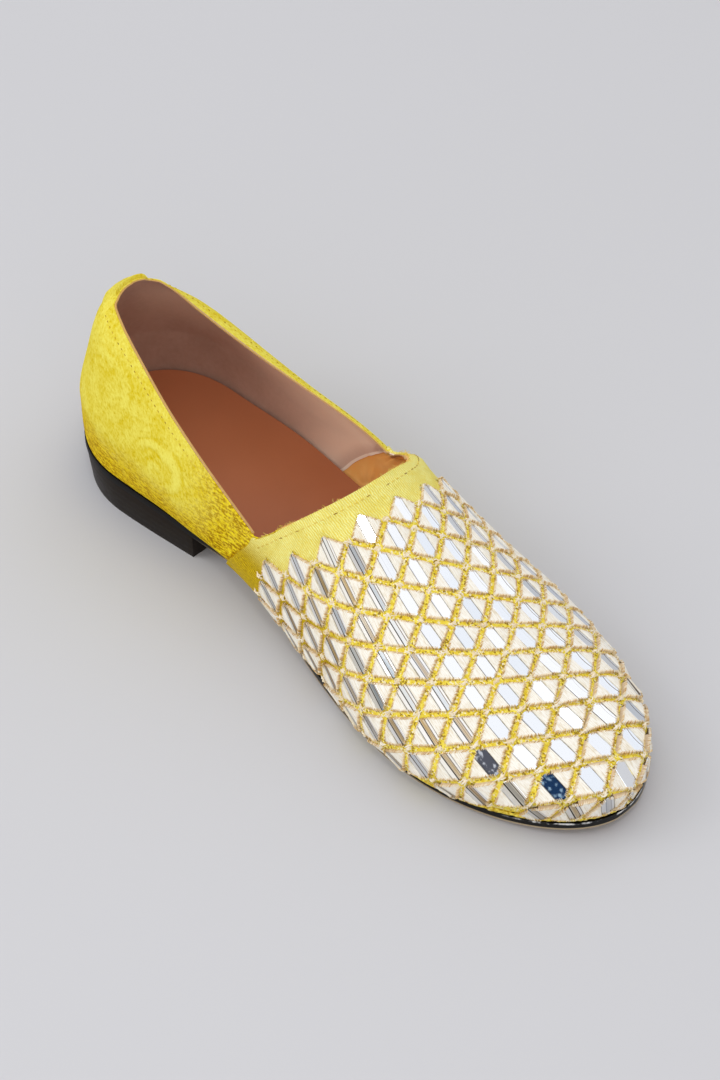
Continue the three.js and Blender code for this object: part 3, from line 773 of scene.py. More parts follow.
suede = Finish(
    "lining_suede", Roughness=0.92, Specular_IOR_Level=0.12, Sheen_Weight=0.25, Sheen_Roughness=0.5,
    Sheen_Tint=paint(230, 190, 170))
suede_nap = suede.noise(suede.spot(), 600.0, 4.0, 0.6)
suede_cloud = suede.noise(suede.spot(), 55.0, 3.0)
suede_colour = suede.blend(suede_cloud * 0.7 + suede_nap * 0.3, paint(156, 120, 102), paint(214, 178, 158))
to_cut, cut_x, cut_y = suede.parts(suede.mark("cut"))
raw_edge = 1 - suede.between(to_cut, 0.2, 0.6)
lit_front = suede.between(cut_x, 30.0, 110.0) * 0.55
lit_top = suede.between(to_cut, 30.0, 6.0) * suede.between(cut_y, 2.0, 16.0) * suede.between(to_cut, 1.0, 8.0)
suede_colour = suede.blend(lit_front + lit_top * 0.5, suede_colour, paint(250, 220, 194))
suede_colour = suede.blend(raw_edge * 0.9, suede_colour, paint(206, 164, 92))
# Painted highlight: the front cut edge is painted paler, where its thickness catches the light.
front_rim_highlight = suede.between(suede.mark("rim", "Fac"), 1.5, 1.0) * suede.between(cut_y, 0.0, 10.0)
suede.feed(Base_Color=suede.blend(front_rim_highlight, suede_colour, paint(255, 236, 214)))
suede.bump(suede_nap, 0.0002, 0.4)
suede.wear(lining)

STRIP_FROM, STRIP_TO = 106.0, 126.0
STRIP_COLUMNS = 60
STRIP_ROWS = 4
strip_turns = turn_of(np.linspace(STRIP_TO, STRIP_FROM, STRIP_COLUMNS + 1))
strip_tops = top_rise(strip_turns, LINING_OUT, LINING_PROUD)
strip_drop = np.interp(np.linspace(0, 1, STRIP_COLUMNS + 1), (0, 0.4), (0.3, 2.0))
strip_feet = top_rise(strip_turns, LINING_OUT, -strip_drop)


def place_strip(column, row):
    rise = strip_feet[column] + (strip_tops[column] - strip_feet[column]) * row / STRIP_ROWS
    return tucked_point(strip_turns[column], rise, strip_tops[column], LINING_OUT)


lining_strip = grid_piece("lining_strip", STRIP_COLUMNS, STRIP_ROWS, place_strip)
add_mark(lining_strip, "cut", np.zeros((len(lining_strip.data.vertices), 3)))
add_mark(lining_strip, "rim", np.full(len(lining_strip.data.vertices), 9.0))
finish_mesh(lining_strip, [thickened(LINING_THICKNESS)], 60)
suede.wear(lining_strip)
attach(lining_strip, "root")
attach(lining, "root")


# Vamp: the front of the upper in yellow ribbed satin, lasted over the toe and lapped over the quarters.
# Bands of thread-speckled satin show between the diamonds, and a plain margin is left along the throat.
VAMP_STEP = 0.8
VAMP_CLOTH = 0.9
SEAM_HEAD = 109.0
VAMP_ROWS = 34
RIB_PITCH = 0.85
seam_line = smooth_curve(
    np.radians((-75, -45, -17, 4.5, 10, 15.5, 20, 60)), (93, 95, 98, 102.2, 105, 108, 109, 109))
spine_stations = np.linspace(100.0, BALL_CENTRE, 81)
spine_line = np.column_stack([spine_stations, ridge_height(spine_stations) + feather_height(spine_stations)])
spine_steps = np.linalg.norm(np.diff(spine_line, axis=0), axis=1)
spine_lengths = np.concatenate([[0], np.cumsum(spine_steps)])


def over_throat(x):
    """Height of the vamp's ridge over the edge of the throat."""
    return ridge_height(x) + feather_height(x) + VAMP_STEP - float(top_line(x)) - THROAT_ARCH


throat_meets_spine = min(np.linspace(130, 148, 181), key=lambda x: abs(over_throat(x)))
THROAT_COLUMNS = 28
side_turns = np.concatenate([
    turn_of(throat_meets_spine - (throat_meets_spine - SEAM_HEAD) * np.linspace(1, 0, THROAT_COLUMNS) ** 2),
    turn_of(np.linspace(throat_meets_spine, BALL_CENTRE, 25))[1:],
    np.linspace(float(turn_of(BALL_CENTRE)), np.pi, 37)[1:]])
vamp_turns = np.concatenate([-side_turns, side_turns[-2::-1]])
VAMP_COLUMNS = len(vamp_turns) - 1
vamp_tops = top_rise(vamp_turns, VAMP_STEP)
vamp_tops[np.abs(vamp_turns) > float(turn_of(throat_meets_spine)) - 1e-9] = HIGHEST


def vamp_place(column, row):
    """Turn and rise of the vamp's grid; its back edge leans with the side seam."""
    rise = LOWEST + (vamp_tops[column] - LOWEST) * row / VAMP_ROWS
    station = station_of(vamp_turns[column])
    lean = np.clip((throat_meets_spine - station) / (throat_meets_spine - SEAM_HEAD), 0, 1)
    station = station - (SEAM_HEAD - seam_line(rise)) * lean
    turn = np.sign(vamp_turns[column]) * turn_of(np.minimum(station, LENGTH))
    return turn, rise


PROFILE_RISES = np.linspace(HIGHEST, LOWEST, 61)


def section_lengths(turn):
    """Lengths down each section of the vamp from its spine."""
    line = last_point(turn[:, None], PROFILE_RISES[None, :], VAMP_STEP)
    step = np.linalg.norm(np.diff(line, axis=1), axis=2)
    return np.concatenate([np.zeros((len(turn), 1)), np.cumsum(step, axis=1)], axis=1)


def flat_pattern(turn, rise):
    """Place in the vamp's flat pattern: along the ridge from the ball, and aside round the section."""
    lengths = section_lengths(turn)
    share = (HIGHEST - rise) / (HIGHEST - LOWEST) * (len(PROFILE_RISES) - 1)
    first = np.clip(share.astype(int), 0, len(PROFILE_RISES) - 2)
    index = np.arange(len(turn))
    distance = lengths[index, first] + (lengths[index, first + 1] - lengths[index, first]) * (share - first)
    side = np.where(turn < 0, -1.0, 1.0)
    station = station_of(turn)
    back = np.interp(station, spine_stations, spine_lengths) - spine_lengths[-1]
    plan = outline(BULGE, turn)
    angle = np.arctan2(side * (plan[:, 1] - SPINE_BALL_Y), plan[:, 0] - BALL_CENTRE)
    fan = station > BALL_CENTRE
    along = np.where(fan, distance * np.cos(angle), back)
    aside = side * np.where(fan, distance * np.sin(angle), distance)
    return along, aside


LATTICE_ROWS = (-3, -1, 5, 11, 17, 23)
lattice_along = smooth_curve(LATTICE_ROWS, (-51, -37.4, 3.1, 38, 75.5, 112.5))
lattice_aside = smooth_curve(LATTICE_ROWS, (7, 4.8, -1.6, -3, -2.8, -2.8))
lattice_spacing = smooth_curve(LATTICE_ROWS, (13.6, 14.3, 16.4, 19.8, 20.2, 20.2))
lattice_slant = smooth_curve(LATTICE_ROWS, (0.07, 0.06, 0.04, 0, -0.1, -0.1))
lattice_bow = smooth_curve(LATTICE_ROWS, (0.0086, 0.008, 0.006, 0.002, 0.002, 0.002))


def row_along(row, off):
    """How far along the flat pattern a slanted, bowed row of diamonds lies, off its middle."""
    return lattice_along(row) + lattice_slant(row) * off - lattice_bow(row) * off ** 2


def lattice_of(along, aside):
    """Row and place of the diamond lattice at a spot of the flat pattern."""
    low, high = halved(
        np.full_like(along, LATTICE_ROWS[0]), np.full_like(along, LATTICE_ROWS[-1]), 30,
        lambda row: row_along(row, aside - lattice_aside(row)) < along)
    row = (low + high) / 2
    return row, 1 + 2 * (aside - lattice_aside(row)) / lattice_spacing(row)


NET_LIFT = 0.7
NET_FLAT_ROW = 15
NET_FADE_ROWS = 6
FOOT_FADE = 6.0
BEND_REACH = 30.0


def in_net(row, place):
    """0 on the plain margin, 1 among the diamonds."""
    notch = np.abs((place % 2) - 1)
    return np.clip((row + 2 - notch) / 0.35, 0, 1)


def vamp_point(turn, rise):
    """The vamp's face: raised among the diamonds except at the toe, bent in at the throat's outer corner."""
    flat = last_point(turn, rise, VAMP_STEP)
    row, place = lattice_of(*flat_pattern(turn, rise))
    lift = NET_LIFT * in_net(row, place) * np.clip((NET_FLAT_ROW - row) / NET_FADE_ROWS, 0, 1)
    lift = lift * np.clip(over_feather(flat) / FOOT_FADE, 0, 1)
    below = np.maximum(opening_height(flat) - flat[:, 2], 0)
    bend = np.where((turn > 0) & (below < BEND_REACH), collar_tuck(np.abs(turn), below, rise), 0)
    return last_point(turn, rise, VAMP_STEP + lift + bend)


def place_vamp(column, row):
    return vamp_point(*vamp_place(column, row))


vamp = grid_piece("vamp", VAMP_COLUMNS, VAMP_ROWS, place_vamp)
grid_row, grid_column = np.divmod(np.arange(len(vamp.data.vertices)), VAMP_COLUMNS + 1)
vamp_turn, vamp_rise = vamp_place(grid_column, grid_row)
vamp_along, vamp_aside = flat_pattern(vamp_turn, vamp_rise)
vamp_lattice = np.column_stack(lattice_of(vamp_along, vamp_aside))
vamp_spots = piece_points(vamp)
vamp_below = opening_height(vamp_spots) - vamp_spots[:, 2]
add_mark(vamp, "flat", np.column_stack([vamp_along, vamp_aside, vamp_below]))
add_mark(vamp, "net", np.column_stack([vamp_lattice, over_feather(vamp_spots)]))
merge_poles(vamp)
finish_mesh(vamp, [
    thickened(VAMP_CLOTH),
    eased(0.4, 3, 60),
], 60)

satin = Finish(
    "ribbed_satin", Specular_IOR_Level=0.12, Sheen_Weight=0.12, Sheen_Roughness=0.4,
    Sheen_Tint=paint(255, 236, 90))
flat_mark = satin.mark("flat")
along_mm, aside_mm, _ = satin.parts(flat_mark)
net_row, net_place, vamp_height = satin.parts(satin.mark("net"))
rib_wobble = satin.noise(flat_mark, 0.35, 2.0) * 1.2
rib_turn = (aside_mm + rib_wobble) * (2 * math.pi / RIB_PITCH)
rib = satin.node("Math", {"operation": "SINE"}, {0: rib_turn}) * 0.5 + 0.5
yarn = satin.noise(satin.scaled(flat_mark, (0.7, 4.5, 0.0)), 1.0, 3.0)
weave = satin.between(rib * 0.6 + yarn * 1.7, 0.6, 1.7)
pick = satin.node("TexVoronoi", {"feature": "F1"}, {
    "Vector": satin.scaled(flat_mark, (1.0, 1.3, 0.0)), "Scale": 1.5}, "Color")
pick_tone, pick_dark, _ = satin.parts(pick)
notch = satin.node("Math", {"operation": "PINGPONG"}, {0: net_place - 1, 1: 1.0})
speckle = satin.between(net_row + 2 - notch, 0.0, 0.14)
cloud = satin.noise(flat_mark, 0.12, 3.0)
plain = satin.blend(weave, paint(240, 216, 68), paint(255, 255, 172))
plain = satin.blend(satin.between(cloud, 0.4, 0.7) * 0.35, plain, paint(226, 200, 48))
speckled = satin.blend(pick_tone, paint(228, 196, 38), paint(255, 240, 104))
speckled = satin.blend((pick_dark > 0.82) * 0.9, speckled, paint(252, 244, 206))
# Painted shade: the darkest specks stand for the shadowed gaps between the stitches.
speckled = satin.blend((pick_dark < 0.13) * 0.8, speckled, paint(142, 104, 26))
# Painted shade: low on the inner side, before the seam, the satin is painted darker gold towards the sole.
low_vamp = satin.between(vamp_height, 34.0, 19.0) * satin.between(along_mm, -15.0, -30.0)
low_vamp = low_vamp * (aside_mm < 0.0)
shaded = satin.blend(weave, paint(150, 112, 0), paint(228, 198, 16))
satin.feed(
    Base_Color=satin.blend(low_vamp, satin.blend(speckle, plain, speckled), shaded),
    Roughness=0.55 + rib * 0.2)
satin.bump(rib * (1 - speckle) * 0.6 + yarn * (1 - speckle) * 0.6 + pick_tone * speckle, 0.0004, 0.8)
satin.wear(vamp)
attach(vamp, "root")


# Vamp lining: smooth caramel leather glued under the vamp. It shows only at the corner of the throat,
# where the suede laps over it.
VAMP_LINING_OUT = -0.55
VAMP_LINING_THICKNESS = 0.4
VAMP_LINING_LAP = 1.4
VAMP_LINING_SHORT = 0.4
VAMP_LINING_ROWS = 22
VAMP_LINING_BACK = 88.0
LINING_CREASES = ((96.5, -42, 0.7), (99.6, -33, 0.8), (103.0, -22, 0.5))
lining_side_turns = np.concatenate([
    turn_of(np.linspace(VAMP_LINING_BACK, throat_meets_spine, 70)), side_turns[THROAT_COLUMNS:]])
vamp_lining_turns = np.concatenate([-lining_side_turns, lining_side_turns[-2::-1]])


def vamp_lining_turn(turn, rise):
    """The back edge leans with the suede's front edge, a little behind it."""
    station = station_of(turn)
    lean = np.clip((throat_meets_spine - station) / (throat_meets_spine - VAMP_LINING_BACK), 0, 1)
    lean = np.where(turn > 0, lean, lean * (rise > -9))
    moved = station + (lining_front(rise) - VAMP_LINING_LAP - VAMP_LINING_BACK) * lean
    return np.sign(turn) * turn_of(np.clip(moved, 0, LENGTH))


vamp_lining_tops = np.zeros_like(vamp_lining_turns)
for _ in range(50):
    bent_turns = vamp_lining_turn(vamp_lining_turns, vamp_lining_tops)
    vamp_lining_tops = top_rise(bent_turns, VAMP_LINING_OUT, -VAMP_LINING_SHORT)


def place_vamp_lining(column, row):
    rise = LOWEST + (vamp_lining_tops[column] - LOWEST) * row / VAMP_LINING_ROWS
    turn = vamp_lining_turn(vamp_lining_turns[column], rise)
    crease = sum(
        depth * np.exp(-((station_of(turn) - station) / 1.1) ** 2 - ((np.degrees(rise) - height) / 14) ** 2)
        for station, height, depth in LINING_CREASES)
    grow = VAMP_LINING_OUT - np.where(turn > 0, crease, 0)
    return tucked_point(turn, rise, top_rise(turn, VAMP_LINING_OUT), grow)


vamp_lining = grid_piece("vamp_lining", len(vamp_lining_turns) - 1, VAMP_LINING_ROWS, place_vamp_lining)
merge_poles(vamp_lining)
finish_mesh(vamp_lining, [thickened(VAMP_LINING_THICKNESS)], 60)

caramel = Finish("caramel_leather", Specular_IOR_Level=0.45)
caramel_cloud = caramel.noise(caramel.spot(), 120.0, 4.0)
caramel_grain = caramel.node("TexVoronoi", {"feature": "DISTANCE_TO_EDGE"}, {
    "Vector": caramel.spot(), "Scale": 1300.0})
caramel.feed(
    Base_Color=caramel.blend(caramel_cloud, paint(255, 170, 68), paint(255, 214, 140)),
    Roughness=0.22 + caramel_cloud * 0.2)
fold = caramel.noise(caramel.scaled(caramel.spot(), (230.0, 230.0, 30.0)), 1.0, 1.0)
caramel.bump(fold + caramel_grain * 0.04, 0.0006, 0.6)
caramel.wear(vamp_lining)
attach(vamp_lining, "root")


# Diamonds: low pads sewn on the vamp in a lattice. Cream satin stitch covers the two flanks of each pad,
# its threads lying along the shoe, and leaves a groove on each side of the mirror strip, painted dark as
# shade.
LAST_ROW = 21
WIDEST_PLACE = 9
PAD_HALF = 0.82
PAD_CUT = 0.87
PAD_STRIP_GROW = 2.4
PAD_TIP_GROW = 2.0
FEATHER_CLEAR = 1.2
PAD_SPARE = 1.5
PAD_REAR = -70.0
rng = np.random.default_rng(7)


def last_of(along, aside):
    """Turn and rise on the last for a spot of the flat pattern, and the room left over the feather line."""
    side = np.where(aside < 0, -1.0, 1.0)
    turn = side * turn_of(np.interp(along + spine_lengths[-1], spine_lengths, spine_stations))
    fan_turns = np.linspace(float(turn_of(BALL_CENTRE)), np.pi, 400)
    wanted = np.arctan2(np.abs(aside), along)
    for sign in (-1.0, 1.0):
        plan = outline(BULGE, np.clip(sign * fan_turns, -np.pi + 1e-9, np.pi - 1e-9))
        angle = np.arctan2(sign * (plan[:, 1] - SPINE_BALL_Y), plan[:, 0] - BALL_CENTRE)
        fan_turn = sign * np.interp(wanted, angle[::-1], fan_turns[::-1])
        turn = np.where((along > 0) & (side == sign), fan_turn, turn)
    distance = np.where(along > 0, np.hypot(along, aside), np.abs(aside))
    lengths = section_lengths(turn)
    whole = lengths[:, -1] - FEATHER_CLEAR
    reach = np.minimum(distance, whole)
    first = np.clip((lengths < reach[:, None]).sum(axis=1), 1, len(PROFILE_RISES) - 1)
    index = np.arange(len(turn))
    share = (reach - lengths[index, first - 1]) / (lengths[index, first] - lengths[index, first - 1])
    rise = PROFILE_RISES[first - 1] + (PROFILE_RISES[first] - PROFILE_RISES[first - 1]) * share
    return turn, rise, whole - distance


def net_spot(row, place):
    """Turn, rise, room and length along for a spot of the lattice."""
    row, place = np.broadcast_arrays(np.asarray(row, float), np.asarray(place, float))
    off = (place - 1) / 2 * lattice_spacing(row)
    along = row_along(row, off)
    turn, rise, spare = last_of(along, lattice_aside(row) + off)
    return turn, rise, spare, along


def net_point(row, place, grow):
    turn, rise, _, _ = net_spot(row, place)
    return last_point(turn, rise, grow)


all_rows, all_places = np.mgrid[-1:LAST_ROW + 1, -WIDEST_PLACE:WIDEST_PLACE + 1]
even = (all_rows + all_places) % 2 == 0
rows_of, places_of = all_rows[even], all_places[even]
_, _, room, lengthwise = net_spot(rows_of, places_of)
kept = (room > PAD_SPARE) & (lengthwise > PAD_REAR)
pad_rows, pad_places = rows_of[kept].astype(float), places_of[kept].astype(float)
pad_count = len(pad_rows)


def unit(vectors):
    return vectors / np.linalg.norm(vectors, axis=-1, keepdims=True)


tip = PAD_HALF * PAD_CUT
pad_back = net_point(pad_rows - tip, pad_places, PAD_STRIP_GROW)
pad_front = net_point(pad_rows + tip, pad_places, PAD_STRIP_GROW)
pad_medial = net_point(pad_rows, pad_places - tip, PAD_TIP_GROW)
pad_lateral = net_point(pad_rows, pad_places + tip, PAD_TIP_GROW)
pad_centre = (pad_back + pad_front) / 2
pad_long = unit(pad_front - pad_back)
pad_up = unit(np.cross(pad_long, pad_lateral - pad_medial))
pad_wide = np.cross(pad_up, pad_long)
medial_drop = np.einsum("ij,ij->i", pad_medial - pad_centre, pad_up)
lateral_drop = np.einsum("ij,ij->i", pad_lateral - pad_centre, pad_up)


def on_plane(points):
    """Vectors from each pad's centre to points, laid into the plane of its mirror strip."""
    offset = points - pad_centre
    return offset - np.einsum("ij,ij->i", offset, pad_up)[:, None] * pad_up


to_corners = [on_plane(corner) / PAD_CUT for corner in (pad_front, pad_back, pad_lateral, pad_medial)]


def spread(middle, corners, across, down):
    """Points round each pad's middle: across and down run from -1 to 1 towards its four corners."""
    front, back, lateral, medial = (corner[:, None, :] for corner in corners)
    across, down = across[None, :, None], down[None, :, None]
    return (middle[:, None, :] + np.abs(down) * np.where(down > 0, front, back)
            + np.abs(across) * np.where(across > 0, lateral, medial))


def pad_spot(across, down, height):
    """Points over each pad; height is over the plane of its mirror strip."""
    return spread(pad_centre, to_corners, across, down) + height[None, :, None] * pad_up[:, None, :]


FLANK_START = 0.31


def flank_slope(across):
    """Height of the flank over the strip's plane, falling from the groove to the tip of the pad."""
    share = np.clip((np.abs(across) - FLANK_START) / (PAD_CUT - FLANK_START), 0, 1)
    drop = np.where(np.asarray(across)[None, :] < 0, medial_drop[:, None], lateral_drop[:, None])
    return share[None, :] * drop


def joined_mesh(name, points, faces):
    """Many small like pieces as one mesh: the points of each, and the faces of one."""
    count, size = points.shape[:2]
    repeated = [tuple(size * number + corner for corner in face) for number in range(count) for face in faces]
    mesh = bpy.data.meshes.new(name)
    mesh.from_pydata(metres(points.reshape(-1, 3)).tolist(), [], repeated)
    piece = bpy.data.objects.new(name, mesh)
    bpy.context.scene.collection.objects.link(piece)
    return piece


COLUMN_ACROSS = np.array([-0.87, -0.8, -0.55, -0.33, -0.3, -0.275, 0.275, 0.3, 0.33, 0.55, 0.8, 0.87])
COLUMN_HEIGHT = np.array([-0.35, -0.04, 0, 0, -0.06, -0.65, -0.65, -0.06, 0, 0, -0.04, -0.35])
ROW_DOWN = np.array([-1, -0.93, -0.5, 0, 0.5, 0.93, 1])
ROW_HEIGHT = np.array([-0.35, -0.03, 0, 0, 0, -0.03, -0.35])
grid_across = np.repeat(COLUMN_ACROSS, len(ROW_DOWN))
grid_down = np.tile(ROW_DOWN, len(COLUMN_ACROSS)) * np.minimum(1 - np.abs(grid_across), PAD_CUT)
grid_height = np.minimum(np.repeat(COLUMN_HEIGHT, len(ROW_DOWN)), np.tile(ROW_HEIGHT, len(COLUMN_ACROSS)))
pad_top = pad_spot(grid_across, grid_down, grid_height)
pad_top += flank_slope(grid_across)[..., None] * pad_up[:, None, :]
wide_count, long_count = len(COLUMN_ACROSS), len(ROW_DOWN)
rim = ([i * long_count for i in range(wide_count)]
       + [(wide_count - 1) * long_count + j for j in range(1, long_count)]
       + [i * long_count + long_count - 1 for i in range(wide_count - 2, -1, -1)]
       + [j for j in range(long_count - 2, 0, -1)])
foot_down, foot_across = grid_down[rim] * 1.02, grid_across[rim] * 1.02
foot_corners = [
    net_point(pad_rows + i * tip, pad_places + j * tip, VAMP_STEP - 0.25)
    for i, j in ((1, 0), (-1, 0), (0, 1), (0, -1))]
foot_middle = (foot_corners[0] + foot_corners[1]) / 2
to_foot_corners = [(corner - foot_middle) / PAD_CUT for corner in foot_corners]
pad_foot = spread(foot_middle, to_foot_corners, foot_across, foot_down)
pad_points = np.concatenate([pad_top, pad_foot], axis=1)
pad_faces = []
for i in range(wide_count - 1):
    for j in range(long_count - 1):
        corner = i * long_count + j
        pad_faces.append((corner, corner + 1, corner + long_count + 1, corner + long_count))
top_count = wide_count * long_count
for k, corner in enumerate(rim):
    following = (k + 1) % len(rim)
    pad_faces.append((corner, rim[following], top_count + following, top_count + k))
pad_faces.append(tuple(top_count + k for k in range(len(rim))))
pads = joined_mesh("diamond_pads", pad_points, pad_faces)
pad_tone = rng.random(pad_count)
pad_marks = np.zeros(pad_points.shape)
pad_marks[:, :top_count, 0] = grid_across
pad_marks[:, :top_count, 1] = grid_down
pad_marks[:, top_count:, 0] = foot_across
pad_marks[:, top_count:, 1] = foot_down
pad_marks[:, :, 2] = pad_tone[:, None]
add_mark(pads, "pad", pad_marks)
face_outward(pads)
finish_mesh(pads, [], 50)

stitch = Finish("cream_satin_stitch", Roughness=0.5, Specular_IOR_Level=0.35, Sheen_Weight=0.1)
pad_mark = stitch.mark("pad")
across_pad, down_pad, tone_pad = stitch.parts(pad_mark)
outward = stitch.size_of(across_pad)
slub = stitch.noise(stitch.scaled(pad_mark, (30.0, 1.6, 90.0)), 1.0, 2.0, 0.55)
fine = stitch.noise(stitch.scaled(pad_mark, (75.0, 2.2, 90.0)), 1.0, 2.0)
cream = stitch.blend(stitch.between(slub, 0.34, 0.56), paint(229, 217, 190), paint(250, 246, 234))
cream = stitch.blend(stitch.between(fine, 0.56, 0.7) * 0.6, cream, paint(204, 180, 136))
cream = stitch.blend(tone_pad * 0.25, cream, paint(255, 252, 244))
# Painted shade: the grooves beside the mirror strip are painted dark brown.
groove = stitch.between(outward, 0.285, 0.276)
rim_down = stitch.size_of(down_pad) + outward
cream = stitch.blend(stitch.between(rim_down, 0.94, 1.0) * 0.6, cream, paint(206, 168, 112))
stitch.feed(Base_Color=stitch.blend(groove, cream, paint(84, 62, 40)))
stitch.bump(slub * 0.7 + fine * 0.4, 0.00016, 0.6)
stitch.wear(pads)
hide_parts("mirror_net")
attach(pads, "root")


# Mirror strips: flat glass slips with bevelled sides and pointed ends, one along the middle of each pad,
# held by the stitching on both sides. Each lies at a slightly different tilt. Those facing inward carry
# painted reflections in bands and lines, and those facing outward a painted dark curved line.
STRIP_HALF = 0.262
STRIP_OUTLINE = np.array([
    (0.05, 0.92), (STRIP_HALF, 0.71), (STRIP_HALF, -0.71), (0.05, -0.92),
    (-0.05, -0.92), (-STRIP_HALF, -0.71), (-STRIP_HALF, 0.71), (-0.05, 0.92)])
STRIP_RINGS = ((1.0, -0.62), (1.0, -0.42), (0.9, -0.33))
STRIP_TILT_ACROSS = 0.045
STRIP_TILT_DOWN = 0.02
SLATE_DIAMOND = (12, -2)
BLUE_DIAMOND = (15, -1)


def stacked_rings(rings, corners):
    """Faces of one small closed piece made of rings of corners, one above the other."""
    faces = [tuple(range(corners - 1, -1, -1)), tuple(range((rings - 1) * corners, rings * corners))]
    for start in range(0, (rings - 1) * corners, corners):
        above = start + corners
        for corner in range(corners):
            following = (corner + 1) % corners
            faces.append((start + corner, start + following, above + following, above + corner))
    return faces


strip_across = np.concatenate([STRIP_OUTLINE[:, 0] * size for size, _ in STRIP_RINGS])
strip_down = np.concatenate([STRIP_OUTLINE[:, 1] * (0.7 + 0.3 * size) for size, _ in STRIP_RINGS])
strip_height = np.repeat([level for _, level in STRIP_RINGS], len(STRIP_OUTLINE))
strip_points = pad_spot(strip_across, strip_down, strip_height)
tilt_across = rng.normal(0, STRIP_TILT_ACROSS, pad_count)
tilt_down = rng.normal(0, STRIP_TILT_DOWN, pad_count)
offset = strip_points - pad_centre[:, None, :]
lean = (np.einsum("ikj,ij->ik", offset, pad_wide) * tilt_across[:, None]
        + np.einsum("ikj,ij->ik", offset, pad_long) * tilt_down[:, None])
strip_points += lean[..., None] * pad_up[:, None, :]
strips = joined_mesh("mirror_strips", strip_points, stacked_rings(len(STRIP_RINGS), len(STRIP_OUTLINE)))
# Painted reflection: strips facing inward get painted reflections, more the further inward they face.
medial_reflection_share = np.clip((-0.3 - pad_up[:, 1]) / 0.35, 0, 1) * rng.uniform(0.5, 1, pad_count)
strip_marks = np.zeros(strip_points.shape)
strip_marks[:, :, 0] = strip_across
strip_marks[:, :, 1] = strip_down
strip_marks[:, :, 2] = medial_reflection_share[:, None]
add_mark(strips, "pad", strip_marks)
strip_kind = np.zeros(strip_points.shape)
strip_kind[:, :, 1] = rng.random(pad_count)[:, None]
strip_kind[:, :, 2] = np.clip((pad_up[:, 1] - 0.08) / 0.2, 0, 1)[:, None]
strip_kind[(pad_rows == SLATE_DIAMOND[0]) & (pad_places == SLATE_DIAMOND[1]), :, 0] = 0.5
strip_kind[(pad_rows == BLUE_DIAMOND[0]) & (pad_places == BLUE_DIAMOND[1]), :, 0] = 1.0
add_mark(strips, "kind", strip_kind)
face_outward(strips)
finish_mesh(strips, [], 20)

mirror = Finish("mirror_glass", Metallic=1.0)
strip_mark = mirror.mark("pad")
across_strip, down_strip, medial_reflection = mirror.parts(strip_mark)
mirror_cloud = mirror.noise(mirror.spot(), 260.0, 3.0)
dark_kind, strip_pick, outer_side = mirror.parts(mirror.mark("kind"))
streak = mirror.noise(mirror.scaled(strip_mark, (26.0, 0.4, 37.0)), 1.0, 1.0)


def thin_line(middle, half):
    """A line along the strips, for painted reflections of dark and pale things."""
    off = mirror.size_of(across_strip - middle)
    return mirror.between(off, half * 1.25, half * 0.75)


# Painted reflection: brown, grey and gold bands, white bands and dark lines stand for dark surroundings seen
# in the inner strips.
mirrored = mirror.node("ValToRGB", {"stops": [
    (0.0, paint(168, 136, 84)), (0.2, paint(208, 182, 134)), (0.32, paint(170, 180, 188)),
    (0.5, paint(222, 226, 228)), (0.66, paint(190, 160, 104)), (0.78, paint(206, 213, 218)),
    (1.0, paint(246, 246, 244))]}, {"Fac": strip_pick})
medial_reflection_colour = mirror.blend(thin_line(0.05, 0.08), paint(246, 244, 240), mirrored)
medial_reflection_colour = mirror.blend(mirror.between(streak, 0.52, 0.6) * 0.4, medial_reflection_colour, paint(244, 240, 230))
medial_reflection_colour = mirror.blend(thin_line(-0.06, 0.024), medial_reflection_colour, paint(40, 32, 22))
medial_reflection_colour = mirror.blend(thin_line(0.15, 0.016), medial_reflection_colour, paint(104, 80, 44))
silver = mirror.blend(strip_pick, paint(226, 232, 240), paint(250, 251, 252))
silver = mirror.blend(mirror.between(medial_reflection, 0.02, 0.3), silver, medial_reflection_colour)
# Painted reflection: a thin dark curved line on the strips facing outward.
curved = mirror.blend(thin_line(0.1 + down_strip * down_strip * 0.12, 0.017), silver, paint(92, 80, 62))
silver = mirror.blend(outer_side * 0.9, silver, curved)
scratch = mirror.noise(mirror.scaled(strip_mark, (6.0, 2.8, 3.0)), 1.0, 3.0)
slate = mirror.blend(mirror.between(scratch, 0.5, 0.66), paint(86, 88, 98), paint(190, 194, 202))
blue = mirror.blend(mirror.between(scratch, 0.48, 0.68), paint(26, 48, 78), paint(128, 154, 174))
silver = mirror.blend(dark_kind > 0.25, silver, slate)
silver = mirror.blend(dark_kind > 0.75, silver, blue)
mirror.feed(Base_Color=silver, Roughness=0.04 + mirror_cloud * 0.08 + (dark_kind > 0.25) * 0.2)
mirror.wear(strips)
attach(strips, "root")


# Overcast thread: tan thread whipped over the edge of every pad into the satin, and cream knots sewn
# at the crossings of the bands.
STITCHES_PER_EDGE = 14
THREAD_RADIUS = 0.15


def thread_mesh(name, start, middle, end, normal, radius, tone):
    """Short stitches as one mesh: each a bowed four-sided thread, thin at both ends."""
    direction = unit(end - start)
    side = unit(np.cross(direction, normal))
    over = np.cross(side, direction)
    rings = []
    for centre, width in ((start, 0.5), (middle, 1.0), (end, 0.5)):
        for sideways, upwards in ((1, 0), (0, 1), (-1, 0), (0, -1)):
            rings.append(centre + radius * width * (sideways * side + upwards * over))
    piece = joined_mesh(name, np.stack(rings, axis=1), stacked_rings(3, 4))
    add_mark(piece, "thread", np.repeat(tone, len(rings)))
    finish_mesh(piece, [], 60)
    return piece


edge_share = np.linspace(0.1, 0.9, STITCHES_PER_EDGE)
edge_down = np.concatenate([sign * (1 - edge_share) for sign in (1, 1, -1, -1)])
edge_across = np.concatenate([sign * edge_share for sign in (1, -1, 1, -1)])


